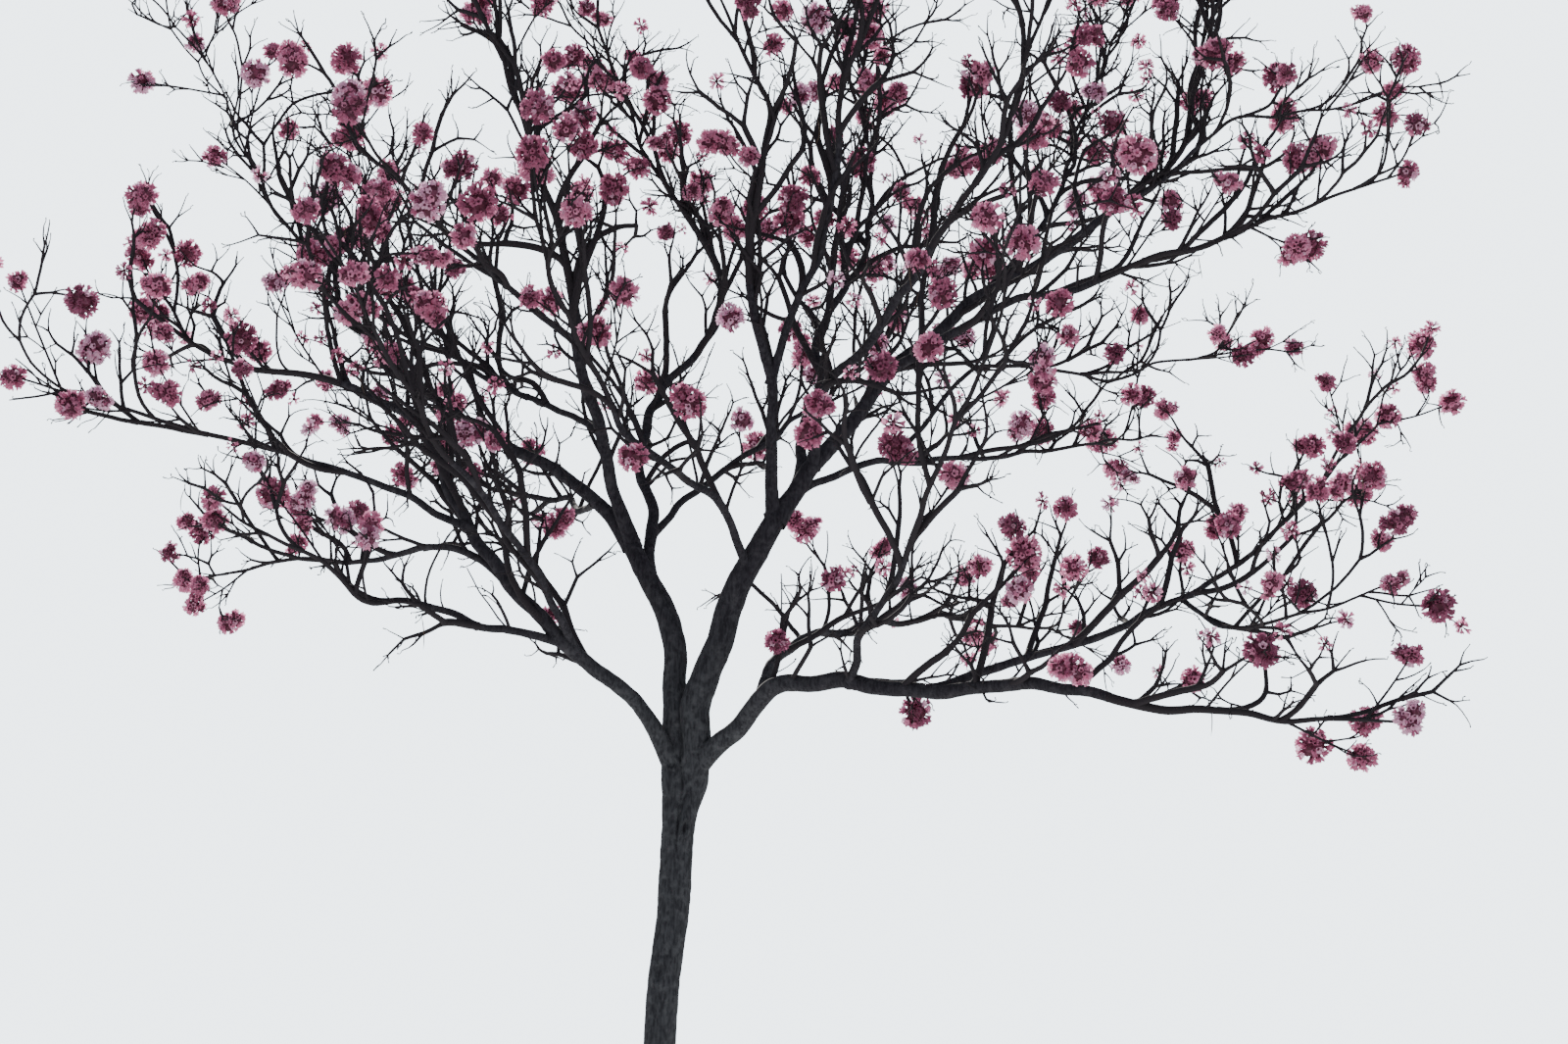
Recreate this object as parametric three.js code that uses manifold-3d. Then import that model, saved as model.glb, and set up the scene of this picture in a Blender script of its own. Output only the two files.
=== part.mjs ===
// A pink trumpet tree in full bloom on bare twigs, in millimetres with Z up.
// The origin lies at ground level, in the middle of the flat cut under the trunk.
// The trunk forks low into two stems; crooked boughs leave them, and each bough ends in a
// mass of twigs that carries round heads of blossom and keeps to its own space.
import * as THREE from "three";
import Module from "manifold-3d";

const wasm = await Module();
wasm.setup();

// Driving dimensions of the trunk, in millimetres
const METRE = 1000;
const TRUNK_TOP = 4750;
const TRUNK_SIDES = 16;
const FLARE_REACH = 95;
const FLARE_HEIGHT = 260;
const FLARE_LOBES = 5;
const FLARE_DEPTH = 0.3;
const SEAM_START = 4300;
const SEAM_WAIST = 110;
const STEM_APART = 92;
const STEM_FOOT = 136;

// The trunk's lean and girth: height, how far it has leaned along X, and its radius
const TRUNK_STATIONS = [
  { height: 0, lean: 0, radius: 170 },
  { height: 250, lean: 5, radius: 165 },
  { height: 700, lean: 20, radius: 155 },
  { height: 1500, lean: 40, radius: 150 },
  { height: 2300, lean: 50, radius: 146 },
  { height: 2900, lean: 90, radius: 144 },
  { height: 3500, lean: 170, radius: 146 },
  { height: 3900, lean: 190, radius: 156 },
  { height: 4250, lean: 205, radius: 158 },
  { height: 4500, lean: 230, radius: 152 },
  { height: TRUNK_TOP, lean: 255, radius: 222 },
];

// Fit and fineness
const GAP = 0.35;
const LEG = 680;
const CROOK = 65;
const TAPER = 0.8;
const STEM_SIDES = 8;
const BOUGH_SIDES = 6;
const LEADER_SIDES = 4;
const TWIG_SIDES = 3;

// The rule for twigs and blossom
const TWIG_FOOT = 13;
const TWIG_TIP = 7;
const TWIG_STEP = 640;
const SHOOT_EVERY = 2;
const TWIG_START = 260;
const GOLDEN_ANGLE = THREE.MathUtils.degToRad(137.5);
const TWIG_ANGLE_LEAST = THREE.MathUtils.degToRad(38);
const TWIG_ANGLE_RANGE = THREE.MathUtils.degToRad(34);
const TWIG_LIFT = 0.32;
const TWIG_BEND = 0.5;
const SHOOT_SHARE = 0.55;
const HEAD_LEAST = 108;
const HEAD_RANGE = 52;
const HEADS_APART = 0.95;
const CLEAR = 22;
const SAMPLE_STEP = 90;

// Shares of a twig: its girth at the elbow, and how its shoot leaves that elbow
const ELBOW_GIRTH = 0.8;
const SHOOT_GIRTH = 0.7;
const SHOOT_FROM = 0.94;
const SHOOT_BEND = 2.6;
const SHOOT_HEAD = 0.8;
const ROOT_SHARE = 0.25;

// Seeds, and the least share of a limb between two of its stations
const LINE_SEED = 1000;
const TIP_SEED = 7000;
const TWIG_SEED = 10000;
const SEEDS_A_LIMB = 100;
const LEAST_SHARE = 0.01;

// Two stems, then the boughs. Each limb springs from another at a share of that one's length,
// runs through the bends in its way (metres), and tapers from foot to tip (radii, millimetres).
// Beyond the bare share of its length it is the leader of its mass, whose twigs reach `spread`.
// A bough that gives off many limbs has a taper of its own, so that it thins faster at first.
const LIMBS = [
  {
    name: "left_stem", foot: 128, tip: 86,
    way: [[0.163, 0, 4.75], [0.125, 0, 5.5], [0.1, 0.1, 6.1], [-0.15, 0.3, 6.85], [-0.35, 0.4, 7.2]],
  },
  {
    name: "right_stem", foot: 146, tip: 102,
    way: [[0.347, 0, 4.75], [0.44, -0.1, 5.5], [0.61, -0.2, 6.0], [0.8, -0.3, 6.6],
      [1.15, -0.4, 7.25]],
  },
  {
    name: "left_low", from: "left_stem", at: 0.05, foot: 78, tip: 8, bare: 0.62, spread: 1.15,
    way: [[-0.2, -0.3, 5.45], [-1.1, -0.8, 6.15], [-1.85, -0.6, 7.35], [-2.2, -0.4, 8.1],
      [-3.5, 0.2, 8.8], [-4.75, 0.8, 9.3], [-5.55, 1.2, 10.4]],
  },
  {
    name: "left_reach", from: "left_low", at: 0.35, foot: 38, tip: 8, bare: 0.4, spread: 1.1,
    way: [[-2.95, -1.3, 7.4], [-4.8, -1.8, 7.8], [-5.75, -2.0, 8.1]],
  },
  {
    name: "left_flat", from: "left_low", at: 0.27, foot: 40, tip: 8, bare: 0.4, spread: 0.9,
    way: [[-1.85, -0.4, 6.9], [-2.65, 0.2, 7.0], [-4.9, 1.6, 7.0]],
  },
  {
    name: "left_under", from: "left_low", at: 0.18, foot: 42, tip: 8, bare: 0.5, spread: 0.9,
    way: [[-1.6, -1.4, 6.0], [-2.4, -2.5, 6.0], [-3.4, -3.8, 6.5]],
  },
  {
    name: "left_high", from: "left_stem", at: 0.97, foot: 77, tip: 8, bare: 0.5, spread: 1.15, taper: 1.4,
    way: [[-0.65, 0.5, 7.5], [-1.7, 0.8, 8.3], [-2.55, 1.0, 8.9], [-3.45, 1.0, 9.9],
      [-4.1, 0.9, 10.95], [-4.95, 0.8, 12.7]],
  },
  {
    name: "left_mast", from: "left_stem", at: 0.96, foot: 67, tip: 8, bare: 0.46, spread: 1.1,
    way: [[-0.5, 0.1, 7.7], [-0.7, -0.6, 8.85], [-0.95, -1.0, 9.75], [-1.4, -1.6, 11.05],
      [-1.55, -1.9, 12.4]],
  },
  {
    name: "left_crossing", from: "left_mast", at: 0.2, foot: 36, tip: 8, bare: 0.5, spread: 1.1,
    way: [[-1.2, 0.6, 8.6], [-2.25, 2.0, 9.5], [-3.35, 3.3, 11.15], [-4.0, 4.1, 13.0]],
  },
  {
    name: "mid_left", from: "left_stem", at: 0.8, foot: 62, tip: 8, bare: 0.58, spread: 1.15,
    way: [[-0.15, 0.8, 7.55], [-0.3, 1.4, 8.45], [-0.1, 2.0, 9.25], [0.5, 2.8, 10.55],
      [-0.4, 3.5, 12.55], [-1.0, 3.8, 14.4]],
  },
  {
    name: "cross_right", from: "mid_left", at: 0.07, foot: 40, tip: 8, bare: 0.5, spread: 1.1,
    way: [[0.4, 1.3, 7.95], [1.0, 2.0, 8.6], [1.95, 3.4, 9.8], [3.1, 4.8, 11.5]],
  },
  {
    name: "cross_left", from: "right_stem", at: 0.78, foot: 44, tip: 8, bare: 0.5, spread: 1.05,
    way: [[0.55, -1.0, 7.1], [-0.15, -2.0, 7.6], [-0.7, -3.1, 8.3], [-0.9, -4.0, 9.5]],
  },
  {
    name: "mid_mast", from: "right_stem", at: 0.97, foot: 61, tip: 8, bare: 0.45, spread: 1.0,
    way: [[1.1, -0.7, 7.8], [1.05, -1.1, 8.4], [0.9, -1.7, 9.35], [1.0, -2.1, 10.55], [0.55, -2.4, 11.8]],
  },
  {
    name: "right_high", from: "right_stem", at: 0.98, foot: 84, tip: 8, bare: 0.66, spread: 1.0,
    way: [[1.45, -0.3, 7.55], [2.2, 0.1, 8.75], [3.2, 0.4, 9.65], [4.5, 0.6, 10.6],
      [5.35, 0.8, 11.4], [5.75, 0.9, 13.4]],
  },
  {
    name: "mid_back", from: "right_high", at: 0.05, foot: 56, tip: 8, bare: 0.45, spread: 1.15,
    way: [[1.55, 0.5, 8.75], [1.6, 1.1, 9.65], [2.2, 2.3, 11.3], [1.95, 3.3, 14.0]],
  },
  {
    name: "right_front", from: "right_high", at: 0.08, foot: 54, tip: 8, bare: 0.5, spread: 1.1,
    way: [[1.6, -0.9, 8.35], [2.15, -1.8, 8.7], [3.0, -3.2, 9.8], [3.6, -3.6, 11.4]],
  },
  {
    name: "right_tip", from: "right_high", at: 0.62, foot: 26, tip: 8, bare: 0.3, spread: 0.7,
    way: [[5.75, 0.3, 11.45], [7.15, -0.7, 11.4]],
  },
  {
    name: "right_reach", from: "right_high", at: 0.25, foot: 48, tip: 8, bare: 0.5, spread: 1.0,
    way: [[3.35, -0.4, 9.3], [4.45, -1.6, 9.3], [5.9, -2.4, 9.5], [6.7, -2.8, 9.8]],
  },
  {
    name: "right_mast", from: "right_high", at: 0.4, foot: 36, tip: 8, bare: 0.36, spread: 1.1,
    way: [[4.05, 1.2, 11.0], [4.6, 2.4, 12.7], [5.2, 3.0, 14.3]],
  },
  {
    name: "right_mid", from: "right_high", at: 0.04, foot: 40, tip: 8, bare: 0.55, spread: 0.9,
    way: [[2.1, 0.4, 7.9], [3.45, 1.8, 8.45], [4.75, 3.0, 8.9], [5.6, 3.6, 9.1]],
  },
  {
    name: "right_rise", from: "right_mid", at: 0.25, foot: 28, tip: 8, bare: 0.3, spread: 0.85,
    way: [[3.35, 1.3, 9.2], [4.65, 2.0, 9.3], [6.5, 2.7, 10.0]],
  },
  {
    name: "right_low", from: "right_stem", at: 0.05, foot: 94, tip: 8, bare: 0.62, spread: 0.85,
    way: [[0.65, -0.3, 5.15], [1.0, -0.7, 5.45], [2.15, -1.4, 5.4], [3.7, -2.6, 5.15], [4.6, -3.1, 4.85],
      [6.1, -3.8, 4.7]],
  },
  {
    name: "right_rising", from: "right_low", at: 0.4, foot: 44, tip: 8, bare: 0.5, spread: 1.0,
    way: [[3.9, -1.3, 5.85], [5.05, -0.6, 6.35], [6.0, -0.1, 7.2], [7.2, 0.6, 8.5]],
  },
  {
    name: "right_side", from: "right_rising", at: 0.45, foot: 24, tip: 8, bare: 0.3, spread: 0.8,
    way: [[5.4, -1.5, 5.9], [6.3, -2.7, 6.0]],
  },
  {
    name: "right_back", from: "right_low", at: 0.13, foot: 54, tip: 8, bare: 0.5, spread: 1.0,
    way: [[1.3, 0.3, 6.1], [2.6, 2.2, 6.75], [4.6, 4.5, 7.1]],
  },
  {
    name: "front_left", from: "left_low", at: 0.17, foot: 40, tip: 8, bare: 0.45, spread: 1.0,
    way: [[-1.3, -1.9, 6.8], [-2.0, -3.3, 7.6], [-2.6, -4.5, 8.7]],
  },
  {
    name: "front_right", from: "right_low", at: 0.28, foot: 40, tip: 8, bare: 0.45, spread: 1.0,
    way: [[2.1, -2.5, 6.1], [2.6, -3.7, 7.0], [3.1, -4.9, 8.3]],
  },
  {
    name: "back_left", from: "left_high", at: 0.08, foot: 40, tip: 8, bare: 0.45, spread: 1.1,
    way: [[-1.1, 1.9, 7.9], [-2.1, 3.3, 8.5], [-3.4, 5.0, 9.6]],
  },
  {
    name: "front_mast", from: "mid_mast", at: 0.25, foot: 42, tip: 8, bare: 0.45, spread: 1.0,
    way: [[1.5, -1.5, 9.3], [1.75, -2.3, 10.7], [2.35, -2.8, 12.2], [2.2, -3.1, 13.6]],
  },
  {
    name: "left_front", from: "left_mast", at: 0.35, foot: 36, tip: 8, bare: 0.5, spread: 0.9,
    way: [[-1.5, -1.9, 9.1], [-2.1, -2.8, 9.5], [-2.5, -3.5, 10.2]],
  },
];

// Colours as seen in soft daylight
const TRUNK_COLOUR = 0x8b8480;
const BOUGH_COLOUR = 0x584d47;
const BLOSSOM_COLOUR = 0xcf7fa9;
const mattLook = (colour) => new THREE.MeshStandardMaterial({ color: colour, roughness: 0.9, metalness: 0 });

// Small seeded random source, so that the tree grows the same way each time
function seeded(seed) {
  let state = seed >>> 0;
  return () => {
    state = (state + 0x6d2b79f5) >>> 0;
    let mix = Math.imul(state ^ (state >>> 15), state | 1);
    mix ^= mix + Math.imul(mix ^ (mix >>> 7), mix | 61);
    return ((mix ^ (mix >>> 14)) >>> 0) / 4294967296;
  };
}

const toSolid = (vertices, triangles) =>
  new wasm.Manifold(
    new wasm.Mesh({
      numProp: 3,
      vertProperties: new Float32Array(vertices.flat()),
      triVerts: new Uint32Array(triangles.flat()),
    }),
  );

// Closed solid over a row of rings, each a list of points that runs round the same way
function loft(rings) {
  const sides = rings[0].length;
  const triangles = [];
  for (let row = 0; row + 1 < rings.length; row++) {
    for (let side = 0; side < sides; side++) {
      const next = (side + 1) % sides;
      const low = row * sides;
      const high = low + sides;
      triangles.push([low + side, low + next, high + next], [low + side, high + next, high + side]);
    }
  }
  const last = (rings.length - 1) * sides;
  for (let side = 1; side + 1 < sides; side++) {
    triangles.push([0, side + 1, side], [last, last + side, last + side + 1]);
  }
  return toSolid(rings.flat(), triangles);
}

// The trunk's radius towards an angle at a height: round, flared at the foot, and two-lobed at the fork
function trunkRadius(angle, station, grow) {
  const flare = FLARE_REACH * Math.exp(-station.height / FLARE_HEIGHT);
  const round = station.radius + flare * (1 - FLARE_DEPTH + FLARE_DEPTH * Math.cos(FLARE_LOBES * angle));
  const across = Math.max(0, STEM_FOOT ** 2 - (STEM_APART * Math.sin(angle)) ** 2);
  const lobed = Math.max(SEAM_WAIST, STEM_APART * Math.abs(Math.cos(angle)) + Math.sqrt(across));
  const split = THREE.MathUtils.smoothstep(station.height, SEAM_START, TRUNK_TOP);
  return THREE.MathUtils.lerp(round, lobed, split) + grow;
}

function trunkSolid(grow = 0) {
  return loft(
    TRUNK_STATIONS.map((station) =>
      Array.from({ length: TRUNK_SIDES }, (_, side) => {
        const angle = (side / TRUNK_SIDES) * 2 * Math.PI;
        const radius = trunkRadius(angle, station, grow);
        return [station.lean + radius * Math.cos(angle), radius * Math.sin(angle), station.height];
      }),
    ),
  );
}

// The crooked middle line of a limb: a smooth curve through its bends, with small seeded kinks
function middleLine(bends, seed) {
  const curve = new THREE.CatmullRomCurve3(bends, false, "catmullrom", 0.5);
  const random = seeded(seed);
  const line = [bends[0].clone()];
  for (let bend = 0; bend + 1 < bends.length; bend++) {
    const steps = Math.max(1, Math.round(bends[bend].distanceTo(bends[bend + 1]) / LEG));
    for (let step = 1; step <= steps; step++) {
      const place = curve.getPoint((bend + step / steps) / (bends.length - 1));
      const kink = new THREE.Vector3(random() - 0.5, random() - 0.5, random() - 0.5);
      line.push(place.addScaledVector(kink, 2 * CROOK));
    }
  }
  return line;
}

// Share of the whole length at which each point of a line lies
function sharesOf(line) {
  const lengths = [0];
  for (let i = 1; i < line.length; i++) lengths.push(lengths[i - 1] + line[i].distanceTo(line[i - 1]));
  const whole = lengths.at(-1);
  return { whole, shares: lengths.map((length) => length / whole) };
}

function pointAt(limb, share) {
  const after = Math.max(1, limb.shares.findIndex((one) => one >= share));
  const before = after - 1;
  const part = (share - limb.shares[before]) / (limb.shares[after] - limb.shares[before]);
  return limb.line[before].clone().lerp(limb.line[after], part);
}

function headingAt(limb, share) {
  const after = Math.max(1, limb.shares.findIndex((one) => one >= share));
  return limb.line[after].clone().sub(limb.line[after - 1]).normalize();
}

// A bough ends in the middle of a straight leg, so that it meets its leader face to face
function middleOfLeg(limb, share) {
  const after = Math.max(1, limb.shares.findIndex((one) => one >= share));
  return (limb.shares[after - 1] + limb.shares[after]) / 2;
}

const girthAt = (limb, share) => limb.tip + (limb.foot - limb.tip) * (1 - share) ** (limb.taper ?? TAPER);

// The stretch of a limb between two shares of its length, with its radii
function stretch(limb, start, end) {
  const inner = limb.shares.filter((share) => share > start + LEAST_SHARE && share < end - LEAST_SHARE);
  return [start, ...inner, end].map((share) => ({
    place: pointAt(limb, share),
    radius: girthAt(limb, share),
  }));
}

// The same stations with both ends drawn out by the clear gap
function lengthened(stations) {
  const longer = stations.map((station) => ({ ...station, place: station.place.clone() }));
  const first = stations[1].place.clone().sub(stations[0].place).normalize();
  const last = stations.at(-1).place.clone().sub(stations.at(-2).place).normalize();
  longer[0].place.addScaledVector(first, -GAP);
  longer.at(-1).place.addScaledVector(last, GAP);
  return longer;
}

// A tapering round rod through stations, level at the foot where it stands on the trunk's flat top
function rod(stations, sides, grow = 0, level = false) {
  const headings = stations.map(({ place }, i) => {
    const before = stations[Math.max(0, i - 1)].place;
    const after = stations[Math.min(stations.length - 1, i + 1)].place;
    return after.clone().sub(before).normalize();
  });
  if (level) headings[0].set(0, 0, 1);
  let across = new THREE.Vector3(1, 0, 0);
  if (Math.abs(headings[0].x) > 0.9) across.set(0, 1, 0);
  return loft(
    stations.map(({ place, radius }, i) => {
      across = across.clone().addScaledVector(headings[i], -across.dot(headings[i])).normalize();
      const beside = headings[i].clone().cross(across);
      return Array.from({ length: sides }, (_, side) => {
        const angle = (side / sides) * 2 * Math.PI;
        return place
          .clone()
          .addScaledVector(across, (radius + grow) * Math.cos(angle))
          .addScaledVector(beside, (radius + grow) * Math.sin(angle))
          .toArray();
      });
    }),
  );
}

// Only the largest body of a solid: loose scraps are dropped
const largest = (solid) =>
  solid.decompose().reduce((best, body) => (body.volume() > best.volume() ? body : best));

const boxesMeet = (a, b) => {
  const one = a.boundingBox();
  const two = b.boundingBox();
  return [0, 1, 2].every((axis) => one.min[axis] <= two.max[axis] && two.min[axis] <= one.max[axis]);
};

// Middle lines first, because every mass needs to know where all the others run
const limbs = new Map();
LIMBS.forEach((row, index) => {
  const bends = row.way.map((bend) => new THREE.Vector3(...bend).multiplyScalar(METRE));
  if (row.from) bends.unshift(pointAt(limbs.get(row.from), row.at));
  const line = middleLine(bends, LINE_SEED + index);
  const limb = { ...row, index, line, ...sharesOf(line) };
  limb.bare = row.bare ? middleOfLeg(limb, row.bare) : 1;
  limbs.set(row.name, limb);
});

// Bare wood: the trunk, then each limb up to its mass, cut clear of the wood made before it
const wood = new Map([["trunk", { solid: trunkSolid(), grown: trunkSolid(GAP) }]]);
for (const limb of limbs.values()) {
  const isStem = !limb.from;
  const sides = isStem ? STEM_SIDES : BOUGH_SIDES;
  const stations = stretch(limb, 0, limb.bare);
  if (isStem) stations[0].place.z += GAP;
  let solid = rod(stations, sides, 0, isStem);
  for (const { grown } of wood.values()) {
    if (boxesMeet(solid, grown)) solid = solid.subtract(grown);
  }
  wood.set(limb.name, { solid: largest(solid), grown: rod(lengthened(stations), sides, GAP, isStem) });
}

// Distance from a point to a run of stations, less the radius there when it is wood
function distanceTo(point, stations, solid) {
  let nearest = Infinity;
  const along = new THREE.Line3();
  const closest = new THREE.Vector3();
  for (let i = 0; i + 1 < stations.length; i++) {
    along.set(stations[i].place, stations[i + 1].place);
    const part = along.closestPointToPointParameter(point, true);
    along.at(part, closest);
    const radius = solid ? THREE.MathUtils.lerp(stations[i].radius, stations[i + 1].radius, part) : 0;
    nearest = Math.min(nearest, closest.distanceTo(point) - radius);
  }
  return nearest;
}

const masses = [...limbs.values()].filter((limb) => limb.spread);
const barks = [...limbs.values()].map((limb) => stretch(limb, 0, limb.bare));
barks.push(
  TRUNK_STATIONS.map(({ lean, height, radius }) => ({ place: new THREE.Vector3(lean, 0, height), radius })),
);
for (const limb of masses) limb.leader = stretch(limb, limb.bare, 1);

// Whether a ball of this radius keeps to the space of its mass and off every limb
function keepsClear(limb, point, radius) {
  if (barks.some((stations) => distanceTo(point, stations, true) < radius + CLEAR)) return false;
  const own = distanceTo(point, limb.leader, false);
  return masses.every(
    (other) => other === limb || distanceTo(point, other.leader, false) - own > 2 * radius + CLEAR,
  );
}

function rodKeepsClear(limb, start, end, radius) {
  const steps = Math.ceil(start.distanceTo(end) / SAMPLE_STEP);
  for (let step = 1; step <= steps; step++) {
    if (!keepsClear(limb, start.clone().lerp(end, step / steps), radius + SAMPLE_STEP / 2)) return false;
  }
  return true;
}

// A round head of blossom, turned at random
function headSolid(place, radius, random) {
  const ball = new THREE.IcosahedronGeometry(radius, 0);
  const anyTurn = () => random() * 2 * Math.PI;
  const turn = new THREE.Euler(anyTurn(), anyTurn(), anyTurn());
  const corners = [];
  const seen = new Map();
  const triangles = [];
  const positions = ball.getAttribute("position");
  for (let i = 0; i < positions.count; i++) {
    const corner = new THREE.Vector3().fromBufferAttribute(positions, i);
    const key = corner.toArray().map((value) => value.toFixed(2)).join();
    if (!seen.has(key)) {
      seen.set(key, corners.length);
      corners.push(corner.applyEuler(turn).add(place).toArray());
    }
    triangles.push(seen.get(key));
  }
  return toSolid(corners, triangles);
}

// One mass: its leader, side twigs in a spiral along it, a shoot from each, and heads at their ends
function massSolid(limb) {
  const leader = limb.leader.map((station) => ({ ...station }));
  leader[0].place.addScaledVector(headingAt(limb, limb.bare), GAP);
  const pieces = [rod(leader, LEADER_SIDES)];
  const heads = [];
  const addHead = (place, radius, random) => {
    const free = heads.every((head) => head.place.distanceTo(place) > HEADS_APART * (head.radius + radius));
    if (!free || !keepsClear(limb, place, radius)) return;
    heads.push({ place, radius });
    pieces.push(headSolid(place, radius, random));
  };
  const tipRandom = seeded(TIP_SEED + limb.index);
  addHead(leader.at(-1).place, HEAD_LEAST + HEAD_RANGE * tipRandom(), tipRandom);
  const length = limb.whole * (1 - limb.bare);
  const count = Math.floor((length - TWIG_START) / TWIG_STEP) + 1;
  for (let twig = 0; twig < count; twig++) {
    const random = seeded(TWIG_SEED + SEEDS_A_LIMB * limb.index + twig);
    const share = limb.bare + (TWIG_START + twig * TWIG_STEP) / limb.whole;
    const start = pointAt(limb, share);
    const heading = headingAt(limb, share);
    const across = new THREE.Vector3(-heading.y, heading.x, 0).normalize();
    const beside = heading.clone().cross(across);
    const turn = twig * GOLDEN_ANGLE + random();
    const angle = TWIG_ANGLE_LEAST + TWIG_ANGLE_RANGE * random();
    const side = across.multiplyScalar(Math.cos(turn)).addScaledVector(beside, Math.sin(turn));
    const way = heading.multiplyScalar(Math.cos(angle)).addScaledVector(side, Math.sin(angle));
    way.z += TWIG_LIFT;
    way.normalize();
    const reach = limb.spread * METRE * (0.5 + 0.5 * random());
    const wander = () => new THREE.Vector3(random() - 0.5, random() - 0.5, random() - 0.3);
    const elbow = start.clone().addScaledVector(way, 0.5 * reach);
    const tipWay = way.clone().addScaledVector(wander(), TWIG_BEND).normalize();
    const tip = elbow.clone().addScaledVector(tipWay, 0.5 * reach);
    const shootWay = way.clone().addScaledVector(wander(), SHOOT_BEND).normalize();
    const shoot = elbow.clone().addScaledVector(shootWay, SHOOT_SHARE * reach);
    const size = HEAD_LEAST + HEAD_RANGE * random();
    const shootSize = HEAD_LEAST + SHOOT_HEAD * HEAD_RANGE * random();
    if (!rodKeepsClear(limb, start.clone().lerp(elbow, ROOT_SHARE), elbow, TWIG_FOOT)) continue;
    const stations = [
      { place: start, radius: TWIG_FOOT },
      { place: elbow, radius: TWIG_FOOT * ELBOW_GIRTH },
    ];
    const reachesTip = rodKeepsClear(limb, elbow, tip, TWIG_FOOT);
    if (reachesTip) stations.push({ place: tip, radius: TWIG_TIP });
    pieces.push(rod(stations, TWIG_SIDES));
    addHead(reachesTip ? tip : elbow, size, random);
    if (twig % SHOOT_EVERY === 0 && rodKeepsClear(limb, elbow, shoot, TWIG_FOOT)) {
      pieces.push(
        rod(
          [
            { place: start.clone().lerp(elbow, SHOOT_FROM), radius: TWIG_FOOT * SHOOT_GIRTH },
            { place: shoot, radius: TWIG_TIP },
          ],
          TWIG_SIDES,
        ),
      );
      addHead(shoot, shootSize, random);
    }
  }
  return largest(wasm.Manifold.union(pieces));
}

// The scene graph: one named mesh for each piece
function toMesh(name, solid, look) {
  const { vertProperties, triVerts } = solid.getMesh();
  const geometry = new THREE.BufferGeometry();
  geometry.setAttribute("position", new THREE.BufferAttribute(new Float32Array(vertProperties), 3));
  geometry.setIndex(new THREE.BufferAttribute(new Uint32Array(triVerts), 1));
  geometry.computeVertexNormals();
  const mesh = new THREE.Mesh(geometry, look);
  mesh.name = name;
  return mesh;
}

const tree = new THREE.Group();
tree.name = "pink_trumpet_tree";
const trunkLook = mattLook(TRUNK_COLOUR);
const boughLook = mattLook(BOUGH_COLOUR);
const blossomLook = mattLook(BLOSSOM_COLOUR);
for (const [name, { solid }] of wood) {
  const isBough = limbs.get(name)?.from;
  tree.add(toMesh(isBough ? `${name}_bough` : name, solid, isBough ? boughLook : trunkLook));
}
for (const limb of masses) tree.add(toMesh(`${limb.name}_blossom`, massSolid(limb), blossomLook));

export default tree;
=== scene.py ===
import math

import bmesh
import bpy
import numpy as np
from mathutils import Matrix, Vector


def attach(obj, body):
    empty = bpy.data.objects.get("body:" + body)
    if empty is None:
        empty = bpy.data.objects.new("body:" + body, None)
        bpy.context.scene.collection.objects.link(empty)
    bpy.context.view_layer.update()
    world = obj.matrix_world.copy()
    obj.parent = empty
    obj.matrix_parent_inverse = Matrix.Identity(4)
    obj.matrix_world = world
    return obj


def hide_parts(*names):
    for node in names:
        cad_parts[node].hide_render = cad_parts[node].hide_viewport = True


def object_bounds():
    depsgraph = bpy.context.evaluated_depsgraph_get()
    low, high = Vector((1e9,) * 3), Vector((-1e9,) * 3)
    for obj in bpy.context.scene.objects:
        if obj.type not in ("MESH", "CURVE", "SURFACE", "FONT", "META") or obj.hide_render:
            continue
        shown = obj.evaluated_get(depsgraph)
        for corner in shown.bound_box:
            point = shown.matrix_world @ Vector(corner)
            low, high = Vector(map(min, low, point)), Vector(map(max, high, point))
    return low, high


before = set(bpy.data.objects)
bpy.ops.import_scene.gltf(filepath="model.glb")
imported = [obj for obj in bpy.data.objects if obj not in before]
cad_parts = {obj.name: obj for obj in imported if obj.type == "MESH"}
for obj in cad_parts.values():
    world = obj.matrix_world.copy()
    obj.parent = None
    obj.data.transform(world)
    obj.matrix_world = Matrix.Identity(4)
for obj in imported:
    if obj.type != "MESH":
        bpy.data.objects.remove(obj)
norm = np.linalg.norm
CAD_BOX = [list(corner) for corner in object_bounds()]

# The photograph's view: a 56 mm lens held at eye height and tipped up at the crown
CAMERA_PLACE = (1.2, -23.0, 1.6)
CAMERA_TIP_UP = math.radians(13.8)
LENS_MM = 56.25
SENSOR_MM = 36.0
FAR_CLIP = 1000

# Floor and light: a soft sky, a bright backdrop that only the camera sees, and a low sun behind the tree
FLOOR_HALF = 400
FLOOR_COLOUR = (0.72, 0.72, 0.71)
SKY_COLOUR = (0.86, 0.92, 1.0, 1)
SKY_STRENGTH = 0.57
BACKDROP_COLOUR = (0.84, 0.93, 1.0, 1)
BACKDROP_STRENGTH = 4.2
SUN_COLOUR = (1.0, 0.96, 0.9)
SUN_STRENGTH = 9.5
SUN_WIDTH = math.radians(9)
SUN_TURN = (math.radians(-62), 0, math.radians(9))

# The trunk
TRUNK_TOP = 4.75
FLARE_REACH = 0.095
FLARE_HEIGHT = 0.26
FLARE_LOBES = 5
FLARE_DEPTH = 0.3

# Near its top the trunk's section turns into two lobes, one under each stem
LOBES_START = 4.3
LOBES_WAIST = 0.11
STEM_APART = 0.092
STEM_FOOT = 0.136

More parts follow.
